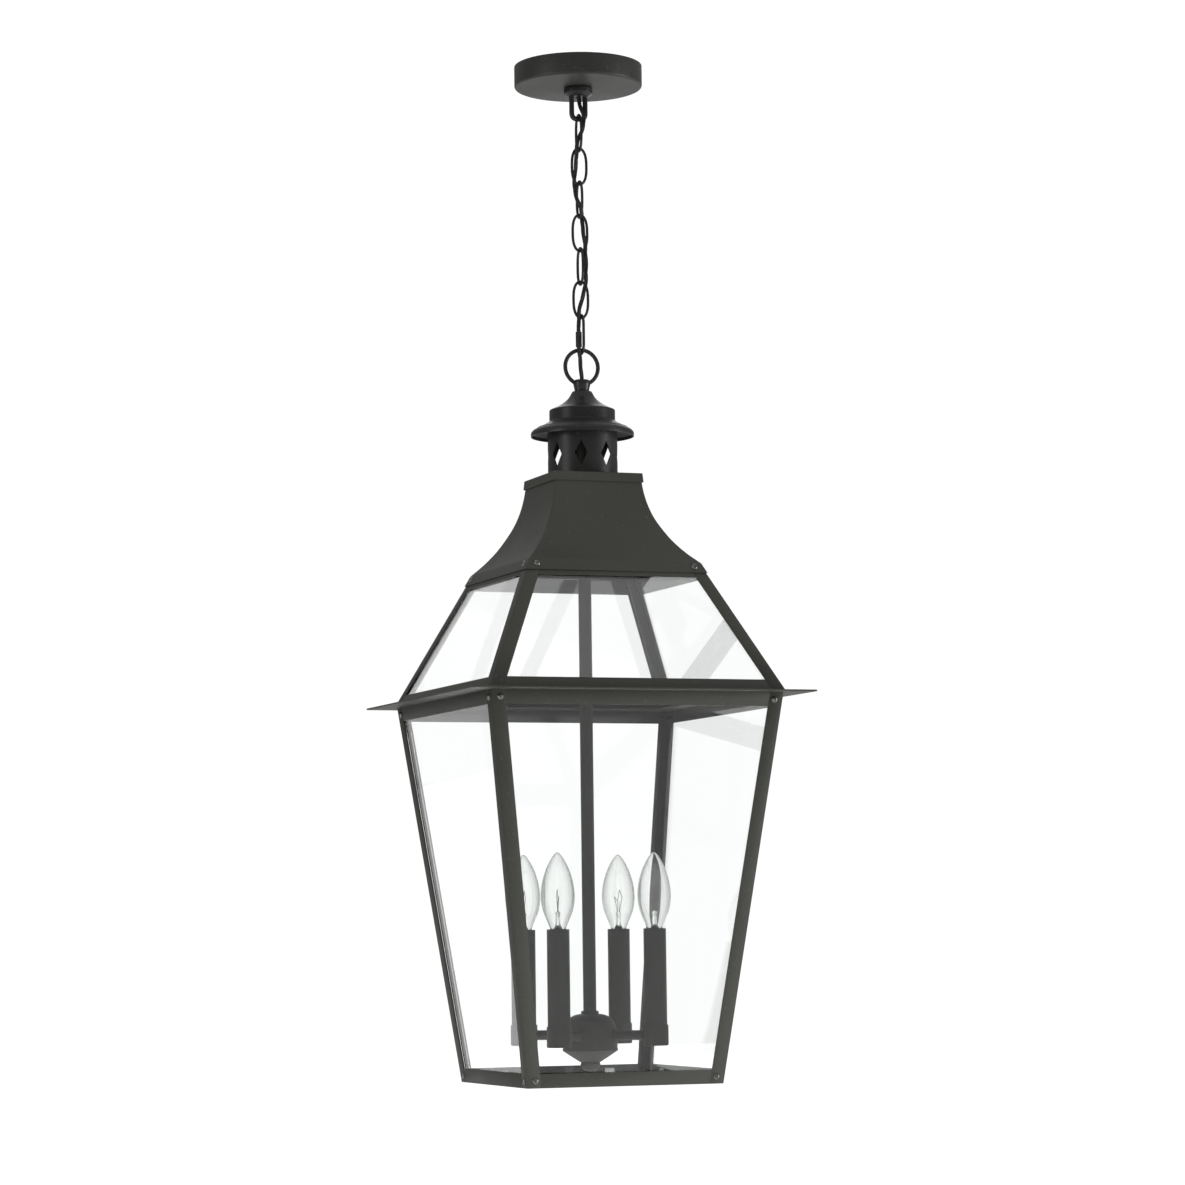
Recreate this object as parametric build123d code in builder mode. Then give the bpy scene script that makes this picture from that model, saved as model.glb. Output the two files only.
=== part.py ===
from build123d import *
import os
from math import atan, cos, degrees, pi, radians, sin, tan

# Hanging four-light lantern. Millimetres, +Z up. The origin is the centre of the canopy on
# the ceiling, so every piece hangs below z = 0. The lantern's front face looks along -Y.

os.makedirs("parts", exist_ok=True)

# ---------------------------------------------------------------- driving dimensions

CLEAR = 0.05  # play between turned pieces that are fastened together
LINK_GAP = 0.3  # air between a link and the wire it hangs on

# ceiling hardware
CANOPY_R = 63.5
CANOPY_DEPTH = 21.5
CANOPY_WALL = 1.0
CROSSBAR_LENGTH = 106.0
CROSSBAR_WIDTH = 19.0
CROSSBAR_THICK = 2.0
SLOT_SPACING = 88.9  # 3 1/2 in, the screw spacing of a ceiling outlet box
SLOT_LENGTH = 14.0
SLOT_R = 2.4
NIPPLE_R = 4.8  # 1/8 IP lamp thread
NIPPLE_BORE_R = 3.3
STEM_R = 9.5
STEM_TOP = -14.0
STEM_BOTTOM = -31.0
COLLAR_R = 14.0
COLLAR_HEIGHT = 8.7
EYE_HALF_WIDTH = 7.1
EYE_WIRE_R = 2.5
EYE_BOTTOM = -53.0  # centre of the eye's lower wire

# chain
LINK_WIRE_R = 1.35
LINK_LENGTH = 39.2
LINK_HALF_WIDTH = 7.6
LINK_COUNT = 6
QUICK_WIRE_R = 1.4
QUICK_LENGTH = 41.6
QUICK_HALF_WIDTH = 7.1
SLEEVE_LENGTH = 15.5
SLEEVE_FLATS = 5.7
SLEEVE_TRAVEL = 7.0
RING_R = 17.15
RING_WIRE_R = 2.0
CORD_R = 2.2

# knob, chimney and rod
KNOB_TOP_DROP = 12.35  # below the ring's centre
KNOB_BOTTOM = -326.0
ROD_R = 6.35
ROD_BORE_R = 5.1
ROD_TOP = -321.5
ROD_BOTTOM = -939.0
VENT_R = 34.35
VENT_WALL = 0.9
VENT_TOP = -358.8
VENT_DIAMONDS = 8
DIAMOND_WIDTH = 13.0
DIAMOND_HEIGHT = 24.6
DIAMOND_Z = -391.0

# square hood and its lid
CAP_TOP = -411.5
CAP_BOTTOM = -420.4
CAP_HALF_TOP = 45.6
CAP_HALF_BOTTOM = 46.4
VENT_SLOT_X = 19.5  # two slots in the lid let warm air up into the vent cylinder
VENT_SLOT_WIDTH = 13.5
VENT_SLOT_LENGTH = 36.0
HOOD_TOP = -413.0
HOOD_FLANGE_TOP = -503.5
HOOD_BOTTOM = -513.0
SHEET = 1.35  # horizontal thickness of the sheet-metal pieces

# glazed roof, eave plate and tapered body: outer half-widths at each level
PLATE_TOP = -630.5
PLATE_THICK = 1.6
PLATE_HALF = 172.5
PLATE_OPENING_HALF = 124.0
ROOF_TOP = -504.0
ROOF_HALF_BOTTOM = 149.5
ROOF_SLOPE = 0.4888  # outward run for each millimetre down
BODY_TOP = PLATE_TOP - PLATE_THICK
BODY_BOTTOM = -1003.0
BODY_HALF_TOP = 147.5
BODY_SLOPE = -0.1308
FLANGE = 14.0
ROOF_RAIL_TOP_BOTTOM = -518.0
ROOF_RAIL_BOTTOM_TOP = -619.5
BODY_RAIL_TOP_BOTTOM = -645.0
BODY_RAIL_BOTTOM_TOP = -989.5
LIP = 8.0
GLASS = 3.2
GLASS_EDGE = 11.5  # from the corner to the edge of a pane
SCREW_INSET = 8.5
SCREW_R = 1.5
SCREW_HEAD_R = 3.3
SCREW_LEVELS = (("roof", -507.0), ("body", -638.8), ("body", -996.4))

# candle cluster
CANDLE_RADIUS = 70.0
ARM_Z = -957.0
ARM_R = 4.75
CUP_R = 12.0
CUP_TOP = -947.0
CUP_BOTTOM = -967.0
SLEEVE_R = 10.9
CANDLE_TOP = -854.5
SOCKET_TOP = -858.4
SOCKET_BORE_R = 6.3
BULB_TIP = -781.0
BULB_R = 16.2
BULB_BASE_R = 5.85
CLUSTER_R = 26.5
CLUSTER_TOP = -936.3
CLUSTER_SEAM = -970.0
CLUSTER_FLOOR = -983.0
FINIAL_BOTTOM = -992.0

# ---------------------------------------------------------------- worked-out places

# z of each joint along the chain: the centre of the wire that the next link hangs on
hooks = [EYE_BOTTOM]
link_tops = []
upper_r = EYE_WIRE_R
for _ in range(LINK_COUNT):
    link_tops.append(hooks[-1] + upper_r + LINK_GAP + 2 * LINK_WIRE_R)
    hooks.append(link_tops[-1] - LINK_LENGTH + LINK_WIRE_R)
    upper_r = LINK_WIRE_R
quick_top = hooks[-1] + LINK_WIRE_R + LINK_GAP + 2 * QUICK_WIRE_R
hooks.append(quick_top - QUICK_LENGTH + QUICK_WIRE_R)
ring_centre = hooks[-1] + QUICK_WIRE_R + LINK_GAP + RING_WIRE_R - RING_R
knob_top = ring_centre - KNOB_TOP_DROP


def half_width(part_of, z):
    """Outer half-width of the roof or the body at height z."""
    if part_of == "roof":
        return ROOF_HALF_BOTTOM - ROOF_SLOPE * (z - PLATE_TOP)
    return BODY_HALF_TOP - BODY_SLOPE * (z - BODY_TOP)


def save(piece, name):
    piece.part.label = name
    export_step(piece.part, f"parts/{name}.step")
    print(name, len(piece.part.solids()), round(piece.part.volume, 1))


# ---------------------------------------------------------------- ceiling hardware

with BuildPart() as crossbar:
    with BuildSketch(Plane.XY):
        SlotOverall(CROSSBAR_LENGTH, CROSSBAR_WIDTH)
        Circle(NIPPLE_R + CLEAR, mode=Mode.SUBTRACT)
        with Locations((-SLOT_SPACING / 2, 0), (SLOT_SPACING / 2, 0)):
            SlotOverall(SLOT_LENGTH, 2 * SLOT_R, mode=Mode.SUBTRACT)
        with Locations((22, 0)):
            Circle(2.2, mode=Mode.SUBTRACT)
    extrude(amount=-CROSSBAR_THICK)
save(crossbar, "crossbar")

with BuildPart() as ground_screw:
    with BuildSketch(Plane.XY.offset(-CROSSBAR_THICK)):
        with Locations((22, 0)):
            RegularPolygon(4.2, 6)
    extrude(amount=-2.6)
    with BuildSketch(Plane.XY.offset(-CROSSBAR_THICK)):
        with Locations((22, 0)):
            Circle(2.1)
    extrude(amount=CROSSBAR_THICK - 0.2)
save(ground_screw, "ground_screw")

with BuildPart() as canopy_nipple:
    with BuildSketch(Plane.XY):
        Circle(NIPPLE_R)
        Circle(NIPPLE_BORE_R, mode=Mode.SUBTRACT)
    extrude(amount=-24)
save(canopy_nipple, "canopy_nipple")

with BuildPart() as nipple_locknut:
    with BuildSketch(Plane.XY.offset(-CROSSBAR_THICK)):
        RegularPolygon(8.2, 6)
        Circle(NIPPLE_R + CLEAR, mode=Mode.SUBTRACT)
    extrude(amount=-4)
save(nipple_locknut, "nipple_locknut")

with BuildPart() as canopy:
    with BuildSketch(Plane.XY):
        Circle(CANOPY_R)
    extrude(amount=-CANOPY_DEPTH)
    fillet(canopy.edges().sort_by(Axis.Z)[0], radius=2.5)
    offset(amount=-CANOPY_WALL, openings=canopy.faces().sort_by(Axis.Z)[-1])
    with BuildSketch(Plane.XY.offset(-CANOPY_DEPTH)):
        Circle(STEM_R + 0.1)
    extrude(amount=CANOPY_DEPTH, mode=Mode.SUBTRACT)
save(canopy, "canopy")

with BuildPart() as canopy_collar:
    with BuildSketch(Plane.XY.offset(-CANOPY_DEPTH - LINK_GAP)):
        Circle(COLLAR_R)
    extrude(amount=-COLLAR_HEIGHT + LINK_GAP)
    chamfer(canopy_collar.edges().sort_by(Axis.Z)[0], length=4.2, length2=2.6)
    with BuildSketch(Plane.XY.offset(-CANOPY_DEPTH)):
        Circle(STEM_R + CLEAR)
    extrude(amount=-COLLAR_HEIGHT - 1, mode=Mode.SUBTRACT)
save(canopy_collar, "canopy_collar")

with BuildPart() as canopy_loop:
    with BuildSketch(Plane.XY.offset(STEM_TOP)):
        Circle(STEM_R)
    extrude(amount=STEM_BOTTOM - STEM_TOP)
    with BuildLine() as eye_path:
        FilletPolyline(
            (-EYE_HALF_WIDTH, 0, STEM_BOTTOM + 0.5),
            (-EYE_HALF_WIDTH, 0, EYE_BOTTOM),
            (EYE_HALF_WIDTH, 0, EYE_BOTTOM),
            (EYE_HALF_WIDTH, 0, STEM_BOTTOM + 0.5),
            radius=6.2,
        )
    with BuildSketch(eye_path.line ^ 0):
        Circle(EYE_WIRE_R)
    sweep()
    with BuildSketch(Plane.XY.offset(STEM_TOP)):
        Circle(NIPPLE_R + CLEAR)
    extrude(amount=-10.2, mode=Mode.SUBTRACT)
    with BuildSketch(Plane.XY.offset(STEM_TOP)):
        Circle(3.0)
    extrude(amount=STEM_BOTTOM - STEM_TOP, mode=Mode.SUBTRACT)
save(canopy_loop, "canopy_loop")

# ---------------------------------------------------------------- chain


def wire_link(plane, top, length, half_width, wire_r, side, end, radii):
    """A closed link of round wire that hangs from z = top, in the given upright plane.

    side and end are where the straight side stops and how wide the flat end is; radii are
    the bends at the end and at the side.
    """
    half = length / 2 - wire_r
    middle = top - length / 2
    corners = [
        (half_width, side), (end, half), (-end, half), (-half_width, side),
        (-half_width, -side), (-end, -half), (end, -half), (half_width, -side),
    ]
    bends = [radii[1], radii[0], radii[0], radii[1]] * 2
    with BuildPart() as link:
        with BuildLine(plane) as path:
            FilletPolyline(*[(u, middle + v) for u, v in corners], radius=bends, close=True)
        with BuildSketch(path.line ^ 0):
            Circle(wire_r)
        sweep()
    return link


EDGE_ON = Plane.YZ
FACE_ON = Plane.XZ
for number, top in enumerate(link_tops, 1):
    plane = EDGE_ON if number % 2 else FACE_ON
    chain_link = wire_link(
        plane, top, LINK_LENGTH, LINK_HALF_WIDTH, LINK_WIRE_R, side=9.5, end=2.2, radii=(3.9, 12.0)
    )
    save(chain_link, f"chain_link_{number}")

quick_middle = quick_top - QUICK_LENGTH / 2
sleeve_bottom = quick_middle - 11.8
with BuildPart() as quick_link:
    add(
        wire_link(
            EDGE_ON, quick_top, QUICK_LENGTH, QUICK_HALF_WIDTH, QUICK_WIRE_R,
            side=14.2, end=2.2, radii=(4.6, 5.5),
        ).part
    )
    with Locations((0, QUICK_HALF_WIDTH, quick_middle - 7.5)):
        Box(6, 5, 5, mode=Mode.SUBTRACT)
save(quick_link, "quick_link")

with BuildPart() as quick_link_sleeve:
    with BuildSketch(Plane.XY.offset(sleeve_bottom)):
        with Locations((0, QUICK_HALF_WIDTH)):
            RegularPolygon(SLEEVE_FLATS / 2, 6, major_radius=False)
            Circle(QUICK_WIRE_R + 0.1, mode=Mode.SUBTRACT)
    extrude(amount=SLEEVE_LENGTH)
save(quick_link_sleeve, "quick_link_sleeve")

# The supply lead comes out of the loop's stem, crosses the chain from side to side, passes in
# front of the ring and goes down the knob into the rod. Its places are the corners of its route.
lead_route = [
    (0.0, 0.0, -26.0),
    (0.3, -0.3, -36.0),
    (3.9, -5.2, -50.0),
    (3.9, -4.3, -60.5),
    (-3.9, -3.6, -78.5),
    (-3.9, -3.9, -93.0),
    (-3.8, 3.9, -111.5),
    (-3.9, 3.8, -126.5),
    (3.9, 3.7, -144.5),
    (3.8, 3.9, -159.5),
    (3.9, -3.9, -178.0),
    (4.5, -4.4, -202.0),
    (3.9, -4.1, -222.5),
    (-3.9, -4.0, -245.5),
    (-4.2, -4.7, -266.0),
    (-4.2, -4.9, -287.5),
    (0.0, 0.0, -310.0),
    (0.2, 0.0, -332.0),
]


def bend_radii(route):
    """For each corner, 0.45 of the shorter run, divided by the tangent of half the turn."""
    points = [Vector(*p) for p in route]
    runs = [b - a for a, b in zip(points, points[1:])]
    radii = []
    for before, after in zip(runs, runs[1:]):
        turn = radians(before.get_angle(after))
        radii.append(0.45 * min(before.length, after.length) / tan(turn / 2))
    return radii


lead_radii = bend_radii(lead_route)
with BuildPart() as supply_cord:
    with BuildLine() as lead_path:
        FilletPolyline(*lead_route, radius=lead_radii)
    with BuildSketch(lead_path.line ^ 0):
        Circle(CORD_R)
    sweep()
save(supply_cord, "supply_cord")
lead_length = sum(edge.length for edge in lead_path.edges())
print("lead bend radii", [round(r, 1) for r in lead_radii])
print("lead length", round(lead_length, 1), "volume over section x length",
      round(supply_cord.part.volume / (pi * CORD_R**2 * lead_length), 4))

# ---------------------------------------------------------------- ring, knob and chimney

RING_GAP_ANGLE = 15.2  # each side of straight down, so the lead can pass between the ends
with BuildPart() as hanging_ring:
    with BuildLine(FACE_ON) as ring_path:
        CenterArc((0, ring_centre), RING_R, -90 + RING_GAP_ANGLE, 360 - 2 * RING_GAP_ANGLE)
    with BuildSketch(ring_path.line ^ 0):
        Circle(RING_WIRE_R)
    sweep()
save(hanging_ring, "hanging_ring")

with BuildPart() as ring_knob:
    with BuildSketch(Plane.XZ):
        with BuildLine():
            Polyline((2.7, ROD_TOP + 0.2), (2.7, knob_top), (5.6, knob_top))
            ThreePointArc((5.6, knob_top), (7.7, knob_top - 0.9), (8.6, knob_top - 3.0))
            ThreePointArc((8.6, knob_top - 3.0), (8.3, knob_top - 7.4), (7.2, KNOB_BOTTOM))
            Polyline(
                (7.2, KNOB_BOTTOM), (ROD_R + CLEAR, KNOB_BOTTOM),
                (ROD_R + CLEAR, ROD_TOP + 0.2), (2.7, ROD_TOP + 0.2),
            )
        make_face()
    revolve(axis=Axis.Z)
    add(hanging_ring.part, mode=Mode.SUBTRACT)
save(ring_knob, "ring_knob")

with BuildPart() as chimney_cap:
    with BuildSketch(Plane.XZ):
        with BuildLine():
            Line((ROD_R + CLEAR, KNOB_BOTTOM), (8.4, KNOB_BOTTOM))
            ThreePointArc((8.4, KNOB_BOTTOM), (9.9, -326.8), (10.8, -328.6))
            ThreePointArc((10.8, -328.6), (17.6, -336.9), (30.8, -344.3))
            ThreePointArc((30.8, -344.3), (32.1, -345.3), (32.5, -347.0))
            Polyline((32.5, -347.0), (32.5, -356.2), (44.6, -362.9), (48.6, -364.8))
            ThreePointArc((48.6, -364.8), (50.3, -366.4), (50.9, -368.6))
            Line((50.9, -368.6), (50.9, -371.3))
            offset(amount=-1.0, side=Side.RIGHT)
        make_face()
    revolve(axis=Axis.Z)
save(chimney_cap, "chimney_cap")

with BuildPart() as vent_cylinder:
    with BuildSketch(Plane.XY.offset(CAP_TOP)):
        Circle(VENT_R)
    extrude(amount=VENT_TOP - CAP_TOP)
    with BuildSketch(Plane.XY.offset(CAP_TOP)):
        Circle(VENT_R + 1.0)
    extrude(amount=1.6)
    with BuildSketch(Plane.XY.offset(CAP_TOP)):
        Circle(VENT_R - VENT_WALL)
    extrude(amount=VENT_TOP - CAP_TOP, mode=Mode.SUBTRACT)
    for turn in range(VENT_DIAMONDS // 2):
        angle = 22.5 + turn * 360 / VENT_DIAMONDS
        with BuildSketch(Plane(origin=(0, 0, DIAMOND_Z), z_dir=(cos(radians(angle)), sin(radians(angle)), 0))):
            Polygon(
                (DIAMOND_WIDTH / 2, 0), (0, DIAMOND_HEIGHT / 2),
                (-DIAMOND_WIDTH / 2, 0), (0, -DIAMOND_HEIGHT / 2),
                align=None,
            )
        extrude(amount=VENT_R + 2, both=True, mode=Mode.SUBTRACT)
save(vent_cylinder, "vent_cylinder")

with BuildPart() as hood_cap:
    for inset, lift, mode in ((0, 0, Mode.ADD), (SHEET, -SHEET, Mode.SUBTRACT)):
        with BuildSketch(Plane.XY.offset(CAP_TOP + lift)):
            Rectangle(2 * (CAP_HALF_TOP - inset), 2 * (CAP_HALF_TOP - inset))
        with BuildSketch(Plane.XY.offset(CAP_BOTTOM)):
            Rectangle(2 * (CAP_HALF_BOTTOM - inset), 2 * (CAP_HALF_BOTTOM - inset))
        loft(mode=mode)
    with BuildSketch(Plane.XY.offset(CAP_TOP)):
        Circle(ROD_R + CLEAR)
        with Locations((-VENT_SLOT_X, 0), (VENT_SLOT_X, 0)):
            RectangleRounded(VENT_SLOT_WIDTH, VENT_SLOT_LENGTH, 2)
    extrude(amount=-3, mode=Mode.SUBTRACT)
save(hood_cap, "hood_cap")

with BuildPart() as rod_nut:
    with BuildSketch(Plane.XY.offset(CAP_TOP - SHEET)):
        RegularPolygon(10.5, 6)
        Circle(ROD_R + CLEAR, mode=Mode.SUBTRACT)
    extrude(amount=-5)
save(rod_nut, "rod_nut")

# ---------------------------------------------------------------- frame fasteners


def screw_place(part_of, u, z, turn):
    """A place on the outside of the front face, looking outward, turned to one of four sides."""
    slope = ROOF_SLOPE if part_of == "roof" else BODY_SLOPE
    out = half_width(part_of, z) + (SHEET if part_of == "roof" else 0)
    plane = Plane(origin=(u, -out, z), x_dir=(1, 0, 0), z_dir=(0, -1, slope))
    return Location((0, 0, 0), (0, 0, 90 * turn)) * plane.location


screw_places = []
for part_of, z in SCREW_LEVELS:
    across = half_width(part_of, z) - SCREW_INSET
    for turn in range(4):
        for u in (-across, across):
            screw_places.append(screw_place(part_of, u, z, turn))

with BuildPart() as one_screw:
    with BuildSketch(Plane.XZ):
        with BuildLine():
            Polyline((0, -5.0), (SCREW_R, -5.0), (SCREW_R, 0), (SCREW_HEAD_R, 0), (SCREW_HEAD_R, 0.5))
            ThreePointArc((SCREW_HEAD_R, 0.5), (2.2, 1.7), (0, 2.1))
            Line((0, 2.1), (0, -5.0))
        make_face()
    revolve(axis=Axis.Z)
    with BuildSketch(Plane.XY.offset(1.1)):
        Rectangle(4.0, 0.8)
        Rectangle(0.8, 4.0)
    extrude(amount=2, mode=Mode.SUBTRACT)

with BuildPart() as frame_screws:
    with Locations(*screw_places):
        add(one_screw.part)
save(frame_screws, "frame_screws")

with BuildPart() as screw_holes:
    with Locations(*screw_places):
        Cylinder(SCREW_R + CLEAR, 12)

# ---------------------------------------------------------------- hood


def hood_block(inset, overrun):
    """The hood's solid outline, square at every level, drawn in by inset at the sides."""
    foot = half_width("roof", HOOD_BOTTOM) + SHEET - inset
    knee = half_width("roof", HOOD_FLANGE_TOP) + SHEET - inset
    with BuildPart() as block:
        for plane, mode in ((Plane.XZ, Mode.ADD), (Plane.YZ, Mode.INTERSECT)):
            with BuildSketch(plane) as outline:
                with BuildLine():
                    Line((43.9 - inset, HOOD_TOP + overrun), (44.9 - inset, CAP_BOTTOM))
                    ThreePointArc(
                        (44.9 - inset, CAP_BOTTOM), (59.9 - inset, -466.3), (knee, HOOD_FLANGE_TOP)
                    )
                    Polyline(
                        (knee, HOOD_FLANGE_TOP),
                        (foot + ROOF_SLOPE * overrun, HOOD_BOTTOM - overrun),
                        (0, HOOD_BOTTOM - overrun),
                        (0, HOOD_TOP + overrun),
                        (43.9 - inset, HOOD_TOP + overrun),
                    )
                make_face()
                mirror(about=Plane.YZ)
            extrude(amount=120, both=True, mode=mode)
    return block


with BuildPart() as hood:
    add(hood_block(0, 0).part)
    add(hood_block(SHEET, 1.0).part, mode=Mode.SUBTRACT)
    add(screw_holes.part, mode=Mode.SUBTRACT)
save(hood, "hood")

# ---------------------------------------------------------------- roof and body frames


def slab(part_of, z_top, z_bottom, depth, thick, left, right):
    """A flat strip that follows the front face, depth behind it and thick through.

    left and right give the strip's edges at a level, from its outer half-width there.
    """
    with BuildPart() as strip:
        for z in (z_top, z_bottom):
            out = half_width(part_of, z)
            x0, x1 = left(out), right(out)
            with BuildSketch(Plane.XY.offset(z)):
                with Locations(((x0 + x1) / 2, -out + depth + thick / 2)):
                    Rectangle(x1 - x0, thick)
        loft()
    return strip


def corner_angle(part_of, z_top, z_bottom, depth, flange, thick):
    """An angle section along the front left corner, depth behind the outer faces."""
    with BuildPart() as angle:
        for z in (z_top, z_bottom):
            c = -half_width(part_of, z) + depth
            with BuildSketch(Plane.XY.offset(z)):
                Polygon(
                    (c, c), (c + flange, c), (c + flange, c + thick),
                    (c + thick, c + thick), (c + thick, c + flange), (c, c + flange),
                    align=None,
                )
        loft()
    return angle


def on_four_sides(*pieces, cut=None):
    """Copies of the pieces on the front, right, back and left."""
    with BuildPart() as group:
        with PolarLocations(0, 4):
            for piece in pieces:
                add(piece.part)
        if cut:
            add(cut.part, mode=Mode.SUBTRACT)
    return group


def between_posts(out):
    return out - FLANGE


def rail(part_of, z_top, z_bottom):
    return slab(
        part_of, z_top, z_bottom, 0, SHEET, lambda out: -between_posts(out), between_posts
    )


roof_posts = on_four_sides(
    corner_angle("roof", ROOF_TOP, PLATE_TOP, 0, FLANGE, SHEET), cut=screw_holes
)
save(roof_posts, "roof_posts")

body_posts = on_four_sides(
    corner_angle("body", BODY_TOP, BODY_BOTTOM, 0, FLANGE, SHEET), cut=screw_holes
)
save(body_posts, "body_posts")

roof_rails = on_four_sides(
    rail("roof", ROOF_TOP, ROOF_RAIL_TOP_BOTTOM), rail("roof", ROOF_RAIL_BOTTOM_TOP, PLATE_TOP)
)
save(roof_rails, "roof_rails")

LIP_THICK = 1.3
with BuildPart() as body_foot_rail:
    add(rail("body", BODY_RAIL_BOTTOM_TOP, BODY_BOTTOM).part)
    add(
        slab(
            "body", BODY_BOTTOM + LIP_THICK, BODY_BOTTOM, SHEET / 2, LIP - SHEET / 2,
            lambda out: -between_posts(out), between_posts,
        ).part
    )
body_rails = on_four_sides(rail("body", BODY_TOP, BODY_RAIL_TOP_BOTTOM), body_foot_rail)
save(body_rails, "body_rails")

bracket_flange = GLASS_EDGE - SHEET - 0.4
brackets = [
    corner_angle(part_of, z + 4.5, z - 4.5, SHEET, bracket_flange, 1.2)
    for part_of, z in SCREW_LEVELS
]
corner_brackets = on_four_sides(*brackets, cut=screw_holes)
save(corner_brackets, "corner_brackets")

# ---------------------------------------------------------------- glass and its clips


def pane_edge(out):
    return out - GLASS_EDGE


def pane(part_of, z_top, z_bottom):
    return slab(part_of, z_top, z_bottom, SHEET, GLASS, lambda out: -pane_edge(out), pane_edge)


PANES = {
    "roof": (ROOF_TOP - 0.8, PLATE_TOP + 0.3),
    "body": (BODY_TOP - 0.3, BODY_BOTTOM + LIP_THICK + 0.1),
}
SIDES = ("front", "right", "back", "left")
for part_of, (z_top, z_bottom) in PANES.items():
    for turn, side in enumerate(SIDES):
        with BuildPart() as side_pane:
            with Locations(Location((0, 0, 0), (0, 0, 90 * turn))):
                add(pane(part_of, z_top, z_bottom).part)
        save(side_pane, f"{part_of}_pane_{side}")

CLIP_WIDTH = 10.0
CLIP_HEIGHT = 9.0
clips = []
for part_of, seat in (("roof", PLATE_TOP), ("body", BODY_BOTTOM + LIP_THICK)):
    for centre in (-55.0, 55.0):
        clips.append(
            slab(
                part_of, seat + CLIP_HEIGHT, seat, SHEET + GLASS, 1.0,
                lambda out, c=centre: c - CLIP_WIDTH / 2, lambda out, c=centre: c + CLIP_WIDTH / 2,
            )
        )
glass_clips = on_four_sides(*clips)
save(glass_clips, "glass_clips")

with BuildPart() as eave_plate:
    with BuildSketch(Plane.XY.offset(BODY_TOP)):
        RectangleRounded(2 * PLATE_HALF, 2 * PLATE_HALF, 1.5)
        RectangleRounded(2 * PLATE_OPENING_HALF, 2 * PLATE_OPENING_HALF, 6, mode=Mode.SUBTRACT)
    extrude(amount=PLATE_THICK)
save(eave_plate, "eave_plate")

# ---------------------------------------------------------------- rod and cluster

with BuildPart() as centre_rod:
    with BuildSketch(Plane.XY.offset(ROD_TOP)):
        Circle(ROD_R)
        Circle(ROD_BORE_R, mode=Mode.SUBTRACT)
    extrude(amount=ROD_BOTTOM - ROD_TOP)
save(centre_rod, "centre_rod")

with BuildPart() as rod_collar:
    with BuildSketch(Plane.XZ):
        with BuildLine():
            Polyline((ROD_R + CLEAR, CLUSTER_TOP), (8.4, CLUSTER_TOP), (8.4, CLUSTER_TOP + 1.0))
            ThreePointArc(
                (8.4, CLUSTER_TOP + 1.0), (8.7, CLUSTER_TOP + 1.9), (7.9, CLUSTER_TOP + 2.8)
            )
            Polyline(
                (7.9, CLUSTER_TOP + 2.8), (ROD_R + CLEAR, CLUSTER_TOP + 2.8),
                (ROD_R + CLEAR, CLUSTER_TOP),
            )
        make_face()
    revolve(axis=Axis.Z)
save(rod_collar, "rod_collar")

arm_directions = [45, 135, 225, 315]
arm_holes = [
    Location((0, 0, ARM_Z), (0, 0, angle)) * Location((0, 0, 0), (0, 90, 0))
    for angle in arm_directions
]

with BuildPart() as cluster_dome:
    with BuildSketch(Plane.XZ):
        with BuildLine():
            Line((ROD_R + CLEAR, CLUSTER_TOP), (9.0, CLUSTER_TOP))
            ThreePointArc((9.0, CLUSTER_TOP), (21.4, -941.6), (CLUSTER_R, -954.5))
            Polyline(
                (CLUSTER_R, -954.5), (CLUSTER_R, CLUSTER_SEAM),
                (CLUSTER_R - 1.2, CLUSTER_SEAM), (CLUSTER_R - 1.2, -954.5),
            )
            ThreePointArc(
                (CLUSTER_R - 1.2, -954.5), (20.6, -942.6), (9.0, CLUSTER_TOP - 1.2)
            )
            Polyline(
                (9.0, CLUSTER_TOP - 1.2), (ROD_R + CLEAR, CLUSTER_TOP - 1.2),
                (ROD_R + CLEAR, CLUSTER_TOP),
            )
        make_face()
    revolve(axis=Axis.Z)
    with Locations(*arm_holes):
        Cylinder(
            ARM_R + CLEAR, CLUSTER_R + 2, align=(Align.CENTER, Align.CENTER, Align.MIN),
            mode=Mode.SUBTRACT,
        )
save(cluster_dome, "cluster_dome")

STUD_R = 3.0
STUD_TOP = -962.0
with BuildPart() as cluster_bowl:
    with BuildSketch(Plane.XZ):
        with BuildLine():
            Polyline(
                (CLUSTER_R + 0.6, CLUSTER_SEAM), (CLUSTER_R + 0.6, CLUSTER_SEAM - 1.8),
                (9.8, CLUSTER_FLOOR), (STUD_R + CLEAR, CLUSTER_FLOOR),
            )
            offset(amount=-1.4, side=Side.RIGHT)
        make_face()
    revolve(axis=Axis.Z)
save(cluster_bowl, "cluster_bowl")

with BuildPart() as cluster_finial:
    with BuildSketch(Plane.XZ):
        with BuildLine():
            Polyline(
                (0, FINIAL_BOTTOM), (0, STUD_TOP), (STUD_R, STUD_TOP),
                (STUD_R, CLUSTER_FLOOR), (9.2, CLUSTER_FLOOR),
            )
            Spline(
                (9.2, CLUSTER_FLOOR), (8.4, -988.6), (0, FINIAL_BOTTOM),
                tangents=((0.6, -1), (-1, 0)),
            )
        make_face()
    revolve(axis=Axis.Z)
save(cluster_finial, "cluster_finial")

# ---------------------------------------------------------------- candles

candle_places = [
    (CANDLE_RADIUS * cos(radians(angle)), CANDLE_RADIUS * sin(radians(angle)))
    for angle in arm_directions
]

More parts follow.
